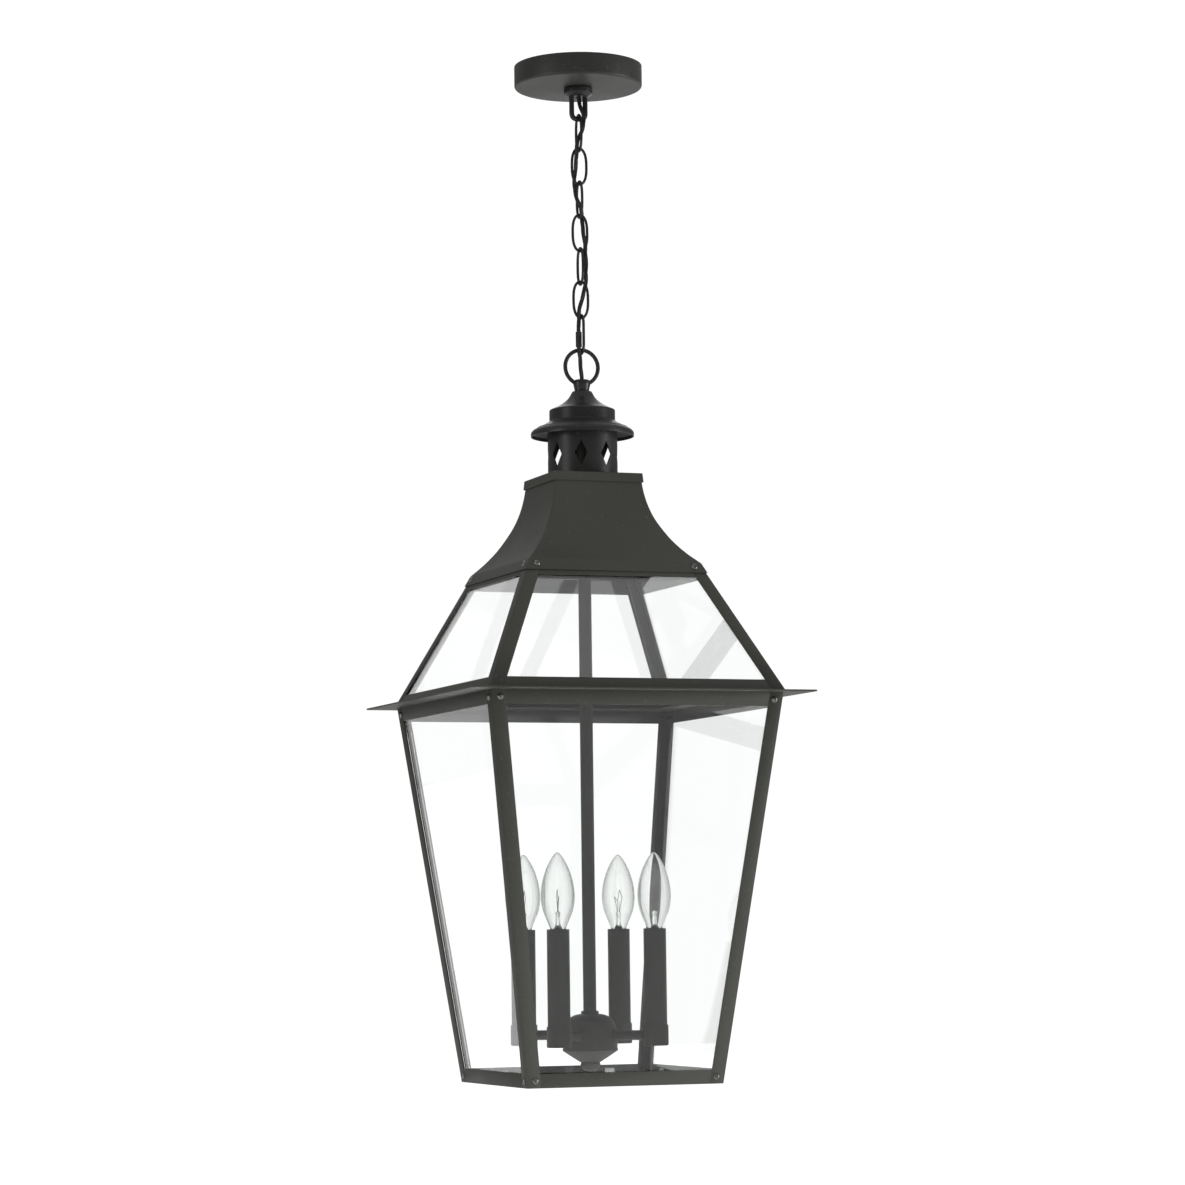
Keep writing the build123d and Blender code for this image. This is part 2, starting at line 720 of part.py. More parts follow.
with BuildPart() as candle_arms:
    with Locations(*arm_holes):
        Cylinder(ARM_R, CANDLE_RADIUS, align=(Align.CENTER, Align.CENTER, Align.MIN))
    with Locations(*arm_holes):
        Cylinder(
            3.6, CANDLE_RADIUS, align=(Align.CENTER, Align.CENTER, Align.MIN), mode=Mode.SUBTRACT
        )
    with Locations((0, 0, ARM_Z)):
        Cylinder(CLUSTER_R - 3.5, 20, mode=Mode.SUBTRACT)
    with Locations(*[(x, y, ARM_Z) for x, y in candle_places]):
        Cylinder(CUP_R, 20, mode=Mode.SUBTRACT)
save(candle_arms, "candle_arms")

with BuildPart() as one_cup:
    with BuildSketch(Plane.XZ):
        with BuildLine():
            Line((4.0, CUP_BOTTOM), (CUP_R - 1.5, CUP_BOTTOM))
            ThreePointArc(
                (CUP_R - 1.5, CUP_BOTTOM), (CUP_R - 0.44, CUP_BOTTOM + 0.44), (CUP_R, CUP_BOTTOM + 1.5)
            )
            Line((CUP_R, CUP_BOTTOM + 1.5), (CUP_R, CUP_TOP))
            offset(amount=-0.9, side=Side.LEFT)
        make_face()
    revolve(axis=Axis.Z)

with BuildPart() as one_sleeve:
    with BuildSketch(Plane.XY.offset(CUP_BOTTOM + 1.5)):
        Circle(SLEEVE_R)
        Circle(SLEEVE_R - 0.9, mode=Mode.SUBTRACT)
    extrude(amount=CANDLE_TOP - CUP_BOTTOM - 1.5)

SOCKET_FLOOR = -885.0
with BuildPart() as one_socket:
    with BuildSketch(Plane.XY.offset(SOCKET_TOP)):
        Circle(8.8)
        Circle(SOCKET_BORE_R, mode=Mode.SUBTRACT)
    extrude(amount=SOCKET_FLOOR - SOCKET_TOP)
    with BuildSketch(Plane.XY.offset(SOCKET_FLOOR)):
        Circle(8.8)
    extrude(amount=-6)
    with BuildSketch(Plane.XY.offset(SOCKET_FLOOR - 6)):
        Circle(3.9)
    extrude(amount=CUP_BOTTOM - SOCKET_FLOOR + 6)


def at_candles(piece):
    with BuildPart() as group:
        with Locations(*[(x, y, 0) for x, y in candle_places]):
            add(piece.part)
    return group


candle_cups = at_candles(one_cup)
save(candle_cups, "candle_cups")
candle_sleeves = at_candles(one_sleeve)
save(candle_sleeves, "candle_sleeves")
lamp_sockets = at_candles(one_socket)
save(lamp_sockets, "lamp_sockets")

# ---------------------------------------------------------------- bulbs

GLASS_FOOT = -858.0


def envelope(inset):
    """The torpedo bulb's outline, drawn in by inset."""
    with BuildPart() as body:
        with BuildSketch(Plane.XZ):
            with BuildLine():
                Line((0, GLASS_FOOT - inset), (6.9 - inset, GLASS_FOOT - inset))
                Spline(
                    (6.9 - inset, GLASS_FOOT - inset),
                    (9.4 - inset, -849.0),
                    (BULB_R - inset, -824.0),
                    (10.6 - inset, -797.0),
                    (0, BULB_TIP - inset),
                    tangents=((0.1, 1), (-1, 0)),
                )
                Line((0, BULB_TIP - inset), (0, GLASS_FOOT - inset))
            make_face()
        revolve(axis=Axis.Z)
    return body


with BuildPart() as one_envelope:
    add(envelope(0).part)
    add(envelope(0.8).part, mode=Mode.SUBTRACT)

with BuildPart() as one_base:
    with BuildSketch(Plane.XZ):
        with BuildLine():
            Polyline(
                (0, GLASS_FOOT - 0.9), (BULB_BASE_R, GLASS_FOOT - 0.9), (BULB_BASE_R, -877.5),
                (2.6, -881.5), (2.6, SOCKET_FLOOR + 0.4), (0, SOCKET_FLOOR + 0.4),
                (0, GLASS_FOOT - 0.9),
            )
        make_face()
    revolve(axis=Axis.Z)

STEM_TIP = -838.0
FILAMENT_TOP = -812.0
with BuildPart() as one_stem:
    with BuildSketch(Plane.XZ):
        with BuildLine():
            Polyline(
                (0, GLASS_FOOT - 0.85), (5.6, GLASS_FOOT - 0.85), (5.6, GLASS_FOOT + 1.0),
                (2.2, GLASS_FOOT + 7.0), (2.2, STEM_TIP), (0, STEM_TIP), (0, GLASS_FOOT - 0.85),
            )
        make_face()
    revolve(axis=Axis.Z)
    with BuildLine() as filament_path:
        FilletPolyline(
            (-1.4, 0, STEM_TIP - 2), (-1.4, 0, STEM_TIP + 2), (-5.5, 0, FILAMENT_TOP - 7),
            (0, 0, FILAMENT_TOP), (5.5, 0, FILAMENT_TOP - 7), (1.4, 0, STEM_TIP + 2),
            (1.4, 0, STEM_TIP - 2),
            radius=1.2,
        )
    with BuildSketch(filament_path.line ^ 0):
        Circle(0.3)
    sweep()

for number, (x, y) in enumerate(candle_places, 1):
    for name, piece in (("glass", one_envelope), ("base", one_base), ("stem", one_stem)):
        with BuildPart() as placed:
            with Locations((x, y, 0)):
                add(piece.part)
        save(placed, f"bulb_{name}_{number}")

print("hooks", [round(z, 2) for z in hooks])
print("ring centre", round(ring_centre, 2), "knob top", round(knob_top, 2))
print("quick link middle", round(quick_middle, 2), "sleeve bottom", round(sleeve_bottom, 2))
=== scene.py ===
from math import cos, pi, radians, sin

import bmesh
import bpy
from bpy.props import FloatProperty, FloatVectorProperty, IntProperty, PointerProperty
from mathutils import Matrix, Vector


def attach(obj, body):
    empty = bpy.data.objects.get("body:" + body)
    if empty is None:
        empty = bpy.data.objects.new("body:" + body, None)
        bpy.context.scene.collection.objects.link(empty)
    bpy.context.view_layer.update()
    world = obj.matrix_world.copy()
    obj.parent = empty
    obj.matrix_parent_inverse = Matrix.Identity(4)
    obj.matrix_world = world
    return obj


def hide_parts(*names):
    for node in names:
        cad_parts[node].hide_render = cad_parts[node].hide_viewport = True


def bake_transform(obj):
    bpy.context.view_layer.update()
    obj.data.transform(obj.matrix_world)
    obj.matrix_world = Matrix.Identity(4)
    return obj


bl_info = {
    "name": "Hanging Lantern",
    "version": (1, 0, 0),
    "blender": (4, 5, 0),
    "location": "3D View > Sidebar > Lantern",
    "description": "Builds a four-light hanging lantern on its chain, piece by piece",
    "category": "Object",
}

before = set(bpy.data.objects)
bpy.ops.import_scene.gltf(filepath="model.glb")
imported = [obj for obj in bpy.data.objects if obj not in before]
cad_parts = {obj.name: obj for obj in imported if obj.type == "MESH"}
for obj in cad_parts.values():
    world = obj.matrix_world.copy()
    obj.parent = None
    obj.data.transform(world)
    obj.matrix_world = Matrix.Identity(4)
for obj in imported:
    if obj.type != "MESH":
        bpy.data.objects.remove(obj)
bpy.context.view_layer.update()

# a millimetre in metres; then, in millimetres, the sheet's thickness, the rod's radius, the
# panes' thickness and their outer face's distance from the metal
MM = 0.001
SHEET, ROD_R = 1.35, 6.35
PANE, PANE_GAP = 3.2, 0.08

# outer half-widths of the roof and the body at their levels, in millimetres
PLATE_TOP, BODY_TOP, BODY_BOTTOM = -630.5, -632.1, -1003.0
ROOF_TOP = -504.0
SCREW_ROWS = (("roof", -507.0, SHEET), ("body", -638.8, 0.0), ("body", -996.4, 0.0))
FLANGE = 14.0
SCREW_IN = 8.5
# how much a face's normal rises for each unit outward
SLOPES = {"roof": 0.4888, "body": -0.1308}

# z of the hinge under each body of the chain, in millimetres
HINGES = (-53.0, -85.35, -118.85, -152.35, -185.85, -219.35, -252.85, -288.6)
RING_CENTRE = -302.05

# the supply lead's route, in metres: out of the loop's stem, from side to side of the chain,
# in front of the ring and down the knob
LEAD_ROUTE = (
    (0.0, 0.0, -0.026),
    (0.0003, -0.0003, -0.036),
    (0.0039, -0.0052, -0.050),
    (0.0039, -0.0043, -0.0605),
    (-0.0039, -0.0036, -0.0785),
    (-0.0039, -0.0039, -0.093),
    (-0.0038, 0.0039, -0.1115),
    (-0.0039, 0.0038, -0.1265),
    (0.0039, 0.0037, -0.1445),
    (0.0038, 0.0039, -0.1595),
    (0.0039, -0.0039, -0.178),
    (0.0045, -0.0044, -0.202),
    (0.0039, -0.0041, -0.2225),
    (-0.0039, -0.0040, -0.2455),
    (-0.0042, -0.0047, -0.266),
    (-0.0042, -0.0049, -0.2875),
    (0.0, 0.0, -0.310),
    (0.0002, 0.0, -0.332),
)
# where each length of the lead ends, and the place and radius of its three wires, in millimetres
LEAD_CUTS = (-69.0, -102.0, -135.4, -168.9, -202.4, -235.9, -270.6)
STRAND_OUT, STRAND_R = 1.16, 1.12

CANDLE_RADIUS = 70.0
CANDLES = [
    (CANDLE_RADIUS * cos(radians(a)), CANDLE_RADIUS * sin(radians(a))) for a in (45, 135, 225, 315)
]


# ---------------------------------------------------------------- what a user may change


def length(name, about, default, low, high):
    """A length that the panel shows in the scene's units."""
    return FloatProperty(
        name=name, description=about, default=default, min=low, max=high, unit="LENGTH"
    )


def tally(name, about, default, low, high):
    return IntProperty(name=name, description=about, default=default, min=low, max=high)


def colour(name, about, default):
    return FloatVectorProperty(
        name=name, description=about, subtype="COLOR", size=3, min=0, max=1, default=default
    )


class LanternSizes(bpy.types.PropertyGroup):
    link_wire: length("Link wire", "Thickness of the chain's wire", 0.0027, 0.001, 0.004)
    link_length: length("Link length", "Outside length of a chain link", 0.0392, 0.03, 0.05)
    link_width: length("Link width", "Outside width of a chain link", 0.0179, 0.012, 0.02)
    screw_head: length("Screw head", "Diameter of the pan heads", 0.0066, 0.003, 0.009)
    sheet_edge: length("Sheet edge", "Rounding on the sheet's edges", 0.00035, 0.0001, 0.0006)
    diamond_width: length("Diamond width", "Width of the cut-outs", 0.013, 0.006, 0.018)
    diamond_height: length("Diamond height", "Height of the cut-outs", 0.0246, 0.01, 0.03)
    diamond_count: tally("Diamonds", "Number of cut-outs around the vent cylinder", 8, 4, 12)
    knurl_count: tally("Knurls", "Ridges around the canopy's screw collar", 56, 24, 90)
    wire_twist: length("Wire twist", "Length of one turn of the lead's wires", 0.058, 0.03, 0.2)


class LanternFinishes(bpy.types.PropertyGroup):
    frame_paint: colour("Frame", "Frame, hood and eave plate", (0.038, 0.0395, 0.032))
    chimney_paint: colour("Chimney", "Chimney cap and vent cylinder", (0.013, 0.013, 0.0125))
    canopy_paint: colour("Canopy", "Ceiling canopy", (0.022, 0.022, 0.020))
    chain_enamel: colour("Chain", "Chain, ring and knob", (0.010, 0.010, 0.010))
    candle_paint: colour("Candles", "Rod, cluster and candle sleeves", (0.036, 0.0365, 0.031))
    lead_cover: colour("Lead", "Wires in the supply lead", (0.012, 0.011, 0.010))
    pane_tint: colour("Panes", "Tint of the window glass", (0.985, 0.996, 0.990))


# ---------------------------------------------------------------- finishes


def add_node(tree, kind, sockets=None, **settings):
    """Adds a node. Each of its named inputs takes a value, an output, or a list of outputs."""
    node = tree.nodes.new(kind)
    for name, value in settings.items():
        setattr(node, name, value)
    for name, value in (sockets or {}).items():
        if isinstance(value, (bpy.types.NodeSocket, list)):
            for source in value if isinstance(value, list) else [value]:
                tree.links.new(source, node.inputs[name])
        else:
            node.inputs[name].default_value = value
    return node


def paint_skin():
    """Cloudy colour, uneven gloss, a few pale specks and the fine orange peel of sprayed paint."""
    tree = bpy.data.node_groups.get("paint skin")
    if tree:
        return tree
    tree = bpy.data.node_groups.new("paint skin", "ShaderNodeTree")
    face = tree.interface
    for label, kind, default in (
        ("Colour", "NodeSocketColor", (0.04, 0.04, 0.04, 1)),
        ("Cloud", "NodeSocketFloat", 0.25),
        ("Cloud scale", "NodeSocketFloat", 14.0),
        ("Gloss low", "NodeSocketFloat", 0.40),
        ("Gloss high", "NodeSocketFloat", 0.52),
        ("Grain scale", "NodeSocketFloat", 1500.0),
        ("Grain depth", "NodeSocketFloat", 0.22),
        ("Specks", "NodeSocketFloat", 0.5),
    ):
        face.new_socket(label, in_out="INPUT", socket_type=kind).default_value = default
    face.new_socket("Colour", in_out="OUTPUT", socket_type="NodeSocketColor")
    face.new_socket("Roughness", in_out="OUTPUT", socket_type="NodeSocketFloat")
    face.new_socket("Normal", in_out="OUTPUT", socket_type="NodeSocketVector")
    given = add_node(tree, "NodeGroupInput").outputs
    place = add_node(tree, "ShaderNodeTexCoord").outputs["Object"]

    def noise(scale, detail):
        made = add_node(
            tree, "ShaderNodeTexNoise", {"Scale": scale, "Detail": detail, "Vector": place}
        )
        return made.outputs["Fac"]

    def spread(value, low, high, to_low, to_high):
        made = add_node(tree, "ShaderNodeMapRange", {
            "From Min": low, "From Max": high, "To Min": to_low, "To Max": to_high, "Value": value,
        })
        return made.outputs["Result"]

    cloud = noise(given["Cloud scale"], 4)
    lift = spread(cloud, 0.3, 0.7, 1.0, maths(tree, "ADD", 1.0, given["Cloud"]))
    clouded = add_node(tree, "ShaderNodeHueSaturation", {"Color": given["Colour"], "Value": lift})
    specks = spread(noise(420, 1), 0.70, 0.80, 0.0, given["Specks"])
    tinted = add_node(tree, "ShaderNodeMix", {
        "B": (0.16, 0.155, 0.14, 1), "Factor": specks, "A": clouded.outputs["Color"],
    }, data_type="RGBA")
    peel = add_node(tree, "ShaderNodeBump", {
        "Distance": 0.0003, "Strength": given["Grain depth"],
        "Height": noise(given["Grain scale"], 3),
    })
    add_node(tree, "NodeGroupOutput", {
        "Colour": tinted.outputs["Result"],
        "Roughness": spread(cloud, 0.35, 0.65, given["Gloss low"], given["Gloss high"]),
        "Normal": peel.outputs["Normal"],
    })
    return tree


def new_material(name):
    made = bpy.data.materials.new(name)
    made.use_nodes = True
    return made, made.node_tree, made.node_tree.nodes["Principled BSDF"]


def painted(name, paint, skin=None, **shader):
    """A painted or enamelled finish: the paint skin over a Principled shader."""
    made, tree, surface = new_material(name)
    group = add_node(tree, "ShaderNodeGroup", node_tree=paint_skin())
    group.inputs["Colour"].default_value = (*paint, 1)
    for label, value in (skin or {}).items():
        group.inputs[label].default_value = value
    for label, value in shader.items():
        surface.inputs[label].default_value = value
    for source, target in (
        ("Colour", "Base Color"), ("Roughness", "Roughness"), ("Normal", "Normal")
    ):
        tree.links.new(group.outputs[source], surface.inputs[target])
    return made


def glass(name, tint, ripple=0.0, ripple_scale=12.0, edge_shade=None, density=1.5):
    """Clear glass with a faint ripple; its second tint, when given, is painted shade: a dark
    outline laid where the glass is seen edge on.
    """
    made, tree, surface = new_material(name)
    surface.inputs["Base Color"].default_value = (*tint, 1)
    surface.inputs["Metallic"].default_value = 0.0
    surface.inputs["Transmission Weight"].default_value = 1.0
    surface.inputs["Roughness"].default_value = 0.0
    surface.inputs["IOR"].default_value = density
    # painted shade: the colour darkens towards the second tint where the glass is seen edge on,
    # standing in for the dark outline that bent and mirrored light gives
    if edge_shade:
        slant = add_node(tree, "ShaderNodeLayerWeight", {"Blend": 0.62})
        edge = add_node(tree, "ShaderNodeMix", {
            "A": (*tint, 1), "B": (*edge_shade, 1),
            "Factor": maths(tree, "POWER", slant.outputs["Facing"], 1.6),
        }, data_type="RGBA")
        tree.links.new(edge.outputs["Result"], surface.inputs["Base Color"])
    place = add_node(tree, "ShaderNodeTexCoord")
    wave = add_node(tree, "ShaderNodeTexNoise", {
        "Scale": ripple_scale, "Detail": 1, "Vector": place.outputs["Object"],
    })
    bump = add_node(tree, "ShaderNodeBump", {
        "Strength": ripple, "Distance": 0.001, "Height": wave.outputs["Fac"],
    })
    tree.links.new(bump.outputs["Normal"], surface.inputs["Normal"])
    return made


def bare_metal(name, metal, low=0.25, high=0.4):
    return painted(name, metal, {
        "Cloud": 0.15, "Cloud scale": 90.0, "Gloss low": low, "Gloss high": high,
        "Grain scale": 2600.0, "Grain depth": 0.12, "Specks": 0.0,
    }, Metallic=1.0)


def finish(name):
    """The finish that goes by a maker's name, made once."""
    made = bpy.data.materials.get(name)
    if made:
        return made
    look = bpy.context.scene.lantern_finishes
    paints = {
        "frame paint": (look.frame_paint, {"Cloud": 0.3, "Cloud scale": 9.0}),
        "chimney paint": (
            look.chimney_paint, {"Gloss low": 0.30, "Gloss high": 0.40, "Cloud": 0.3},
        ),
        "canopy paint": (look.canopy_paint, {
            "Gloss low": 0.34, "Gloss high": 0.44, "Grain scale": 1900.0, "Specks": 0.7,
        }),
        "black enamel": (look.chain_enamel, {
            "Gloss low": 0.22, "Gloss high": 0.36, "Cloud": 0.5, "Cloud scale": 60.0,
            "Specks": 0.0, "Grain depth": 0.12,
        }),
        "candle paint": (look.candle_paint, {"Gloss low": 0.5, "Gloss high": 0.62}),
        "lead cover": (look.lead_cover, {
            "Gloss low": 0.34, "Gloss high": 0.5, "Cloud": 0.6, "Cloud scale": 120.0,
            "Specks": 0.0,
        }),
        "socket moulding": ((0.02, 0.02, 0.02), {"Gloss low": 0.5, "Gloss high": 0.7}),
    }
    if name in paints:
        return painted(name, *paints[name])
    if name == "earth green":
        return painted(name, (0.02, 0.22, 0.06), {"Specks": 0.0}, Metallic=0.4)
    metals = {
        "zinc steel": ((0.55, 0.56, 0.55),),
        "screw steel": ((0.24, 0.24, 0.225), 0.2, 0.3),
        "lamp brass": ((0.75, 0.58, 0.30),),
        "filament wire": ((0.08, 0.08, 0.08), 0.4, 0.5),
    }
    if name in metals:
        return bare_metal(name, *metals[name])
    # tint, ripple, ripple scale, painted edge shade (a dark tint where seen edge on) and density
    roof_tint = [c * 0.985 for c in look.pane_tint]
    glasses = {
        "window glass": (look.pane_tint, 0.05, 7.0, None, 1.34),
        "roof glass": (roof_tint, 0.08, 9.0, None, 1.6),
        # bulb and stem glass carry a painted dark outline where they are seen edge on
        "bulb glass": ((0.97, 0.975, 0.97), 0.25, 60.0, (0.16, 0.17, 0.16)),
        "stem glass": ((0.82, 0.84, 0.83), 0.4, 300.0, (0.2, 0.2, 0.2)),
    }
    return glass(name, *glasses[name])


# ---------------------------------------------------------------- shaping


def half_width(part_of, z):
    """Outer half-width of the roof or the body at height z, in millimetres."""
    if part_of == "roof":
        return 149.5 - 0.4888 * (z - PLATE_TOP)
    return 147.5 + 0.1308 * (z - BODY_TOP)


def rounded(points, closed=False, steps=5):
    """The corners of a line, rounded where a point has a third number, its bend."""
    made = []
    count = len(points)
    for i, point in enumerate(points):
        here = Vector(point[:2])
        bend = point[2] if len(point) > 2 else 0
        if not bend or (not closed and i in (0, count - 1)):
            made.append(tuple(here))
            continue
        before, after = Vector(points[i - 1][:2]), Vector(points[(i + 1) % count][:2])
        start = here + (before - here).normalized() * min(bend, (before - here).length * 0.49)
        end = here + (after - here).normalized() * min(bend, (after - here).length * 0.49)
        for k in range(steps + 1):
            t = k / steps
            made.append(tuple(start * (1 - t) ** 2 + here * 2 * t * (1 - t) + end * t**2))
    return made


def flowing(points, steps=6):
    """A smooth line through the points."""
    made = []
    for i in range(len(points) - 1):
        p0 = Vector(points[max(i - 1, 0)])
        p1, p2 = Vector(points[i]), Vector(points[i + 1])
        p3 = Vector(points[min(i + 2, len(points) - 1)])
        for k in range(steps):
            t = k / steps
            made.append(tuple(0.5 * (
                2 * p1 + (p2 - p0) * t + (2 * p0 - 5 * p1 + 4 * p2 - p3) * t**2
                + (3 * p1 - p0 - 3 * p2 + p3) * t**3
            )))
    return made + [tuple(points[-1])]


def lathe(shape, profile, at=(0.0, 0.0), turns=96, place=None):
    """Adds the profile (radius, height in millimetres) turned about an upright line."""
    place = place or Matrix.Translation((at[0] * MM, at[1] * MM, 0))
    rings = []
    for r, z in profile:
        if r < 1e-6:
            rings.append([shape.verts.new(place @ Vector((0, 0, z * MM)))])
            continue
        angles = [2 * pi * k / turns for k in range(turns)]
        spots = [(r * MM * cos(t), r * MM * sin(t), z * MM) for t in angles]
        rings.append([shape.verts.new(place @ Vector(spot)) for spot in spots])
    pairs = list(zip(rings, rings[1:]))
    if len(rings[0]) > 1 and len(rings[-1]) > 1:
        pairs.append((rings[-1], rings[0]))
    for a, b in pairs:
        for k in range(turns):
            j = (k + 1) % turns
            if len(a) == 1:
                corners = (a[0], b[j], b[k])
            elif len(b) == 1:
                corners = (a[k], a[j], b[0])
            else:
                corners = (a[k], a[j], b[j], b[k])
            shape.faces.new(corners)
    return shape


def stitch(shape, rings, caps=True, loop=False):
    """Joins rings with the same number of corners, capping the ends or closing the loop."""
    if caps:
        shape.faces.new(rings[0][::-1])
        shape.faces.new(rings[-1])
    for a, b in zip(rings, rings[1:] + rings[: int(loop)]):
        for k in range(len(a)):
            j = (k + 1) % len(a)
            shape.faces.new((a[k], a[j], b[j], b[k]))
    return shape


def loft(shape, *levels):
    """Adds a solid through outlines with the same number of corners, in millimetres."""
    return stitch(shape, [[shape.verts.new(Vector(p) * MM) for p in level] for level in levels])


def turned(profile, turns, at=(0.0, 0.0)):
    """A new shape made by turning a profile."""
    return lathe(bmesh.new(), profile, at, turns)


def round_ring(shape, centre, side, other, radius, sides):
    turns = [2 * pi * k / sides for k in range(sides)]
    return [shape.verts.new(centre + (side * cos(t) + other * sin(t)) * radius) for t in turns]


def tube(shape, path, radius, sides=16):
    """Adds a round tube along a path of points in metres."""
    points = [Vector(p) for p in path]
    side = None
    rings = []
    for i, here in enumerate(points):
        along = (points[min(i + 1, len(points) - 1)] - points[max(i - 1, 0)]).normalized()
        side = side or along.orthogonal()
        side = (side - along * side.dot(along)).normalized()
        rings.append(round_ring(shape, here, side, along.cross(side), radius, sides))
    return stitch(shape, rings)


def soften(shape, width, angle=25, segments=2):
    """Rounds the sharp edges."""
    bmesh.ops.recalc_face_normals(shape, faces=shape.faces[:])
    edges = [
        e for e in shape.edges if len(e.link_faces) == 2 and e.calc_face_angle() > radians(angle)
    ]
    bmesh.ops.bevel(
        shape, geom=edges, offset=width, segments=segments, profile=0.5, affect="EDGES",
        clamp_overlap=True,
    )
    return shape


def quarter_turns(point):
    """The point on the front, right, back and left sides."""
    x, y, z = point
    return ((x, y, z), (-y, x, z), (-x, -y, z), (y, -x, z))


def smooth_mesh(mesh, sharp=32):
    """Smooth shading with creases where faces turn by more than the given angle."""
    shape = bmesh.new()
    shape.from_mesh(mesh)
    for face in shape.faces:
        face.smooth = True
    for edge in shape.edges:
        edge.smooth = not (len(edge.link_faces) == 2 and edge.calc_face_angle() > radians(sharp))
    shape.to_mesh(mesh)
    shape.free()


def settle(name, shape, look, node, body="lantern", outward=True, sharp=32):
    """Turns a shape into a finished piece that rides on a body and stands for a CAD node."""
    if isinstance(shape, bpy.types.Mesh):
        mesh = shape
        mesh.materials.clear()
    else:
        if outward:
            bmesh.ops.remove_doubles(shape, verts=shape.verts[:], dist=1e-7)
            bmesh.ops.recalc_face_normals(shape, faces=shape.faces[:])
        mesh = bpy.data.meshes.new(name)
        shape.to_mesh(mesh)
        shape.free()
    smooth_mesh(mesh, sharp)
    mesh.materials.append(finish(look))
    piece = bpy.data.objects.new(name, mesh)
    bpy.context.scene.collection.objects.link(piece)
    if body:
        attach(piece, body)
    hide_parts(node)
    return piece


def refinish(look, *nodes):
    """Gives CAD nodes a finish."""
    for node in nodes:
        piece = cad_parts[node]
        piece.data.materials.clear()
        piece.data.materials.append(finish(look))


# ---------------------------------------------------------------- geometry node trees


def new_tree(name, sockets):
    tree = bpy.data.node_groups.new(name, "GeometryNodeTree")
    for label, kind, default in sockets:
        socket = tree.interface.new_socket(label, in_out="INPUT", socket_type=kind)
        if default is not None:
            socket.default_value = default
    tree.interface.new_socket("Geometry", in_out="OUTPUT", socket_type="NodeSocketGeometry")
    return tree, add_node(tree, "NodeGroupInput"), add_node(tree, "NodeGroupOutput")


def maths(tree, operation, *values):
    """The result of a maths node on values or outputs."""
    given = {k: value for k, value in enumerate(values) if value is not None}
    return add_node(tree, "ShaderNodeMath", given, operation=operation).outputs[0]


def close_tree(tree, given, out, geometry):
    """Ends a tree in Realize Instances and Set Material."""
    realize = add_node(tree, "GeometryNodeRealizeInstances", {"Geometry": geometry})
    paint = add_node(tree, "GeometryNodeSetMaterial", {
        "Geometry": realize.outputs["Geometry"], "Material": given.outputs["Finish"],
    })
    tree.links.new(paint.outputs["Geometry"], out.inputs["Geometry"])


def grown(tree, values, base=None):
    """The plain mesh that a tree makes with the given named values."""
    host = bpy.data.objects.new(tree.name, base or bpy.data.meshes.new(tree.name))
    bpy.context.scene.collection.objects.link(host)
    modifier = host.modifiers.new(tree.name, "NODES")
    modifier.node_group = tree
    for item in tree.interface.items_tree:
        if item.in_out == "INPUT" and item.name in values:
            modifier[item.identifier] = values[item.name]
    bpy.context.view_layer.update()
    graph = bpy.context.evaluated_depsgraph_get()
    mesh = bpy.data.meshes.new_from_object(host.evaluated_get(graph))
    host.modifiers.clear()
    bpy.data.objects.remove(host)
    return mesh


def geo(tree, kind, sockets=None, **settings):
    """Adds a geometry node and gives its first output."""
    return add_node(tree, "GeometryNode" + kind, sockets, **settings).outputs[0]


def combined(tree, x=0.0, y=0.0, z=0.0):
    return add_node(tree, "ShaderNodeCombineXYZ", {"X": x, "Y": y, "Z": z}).outputs[0]


def transformed(tree, geometry, **change):
    return geo(tree, "Transform", {"Geometry": geometry, **change})


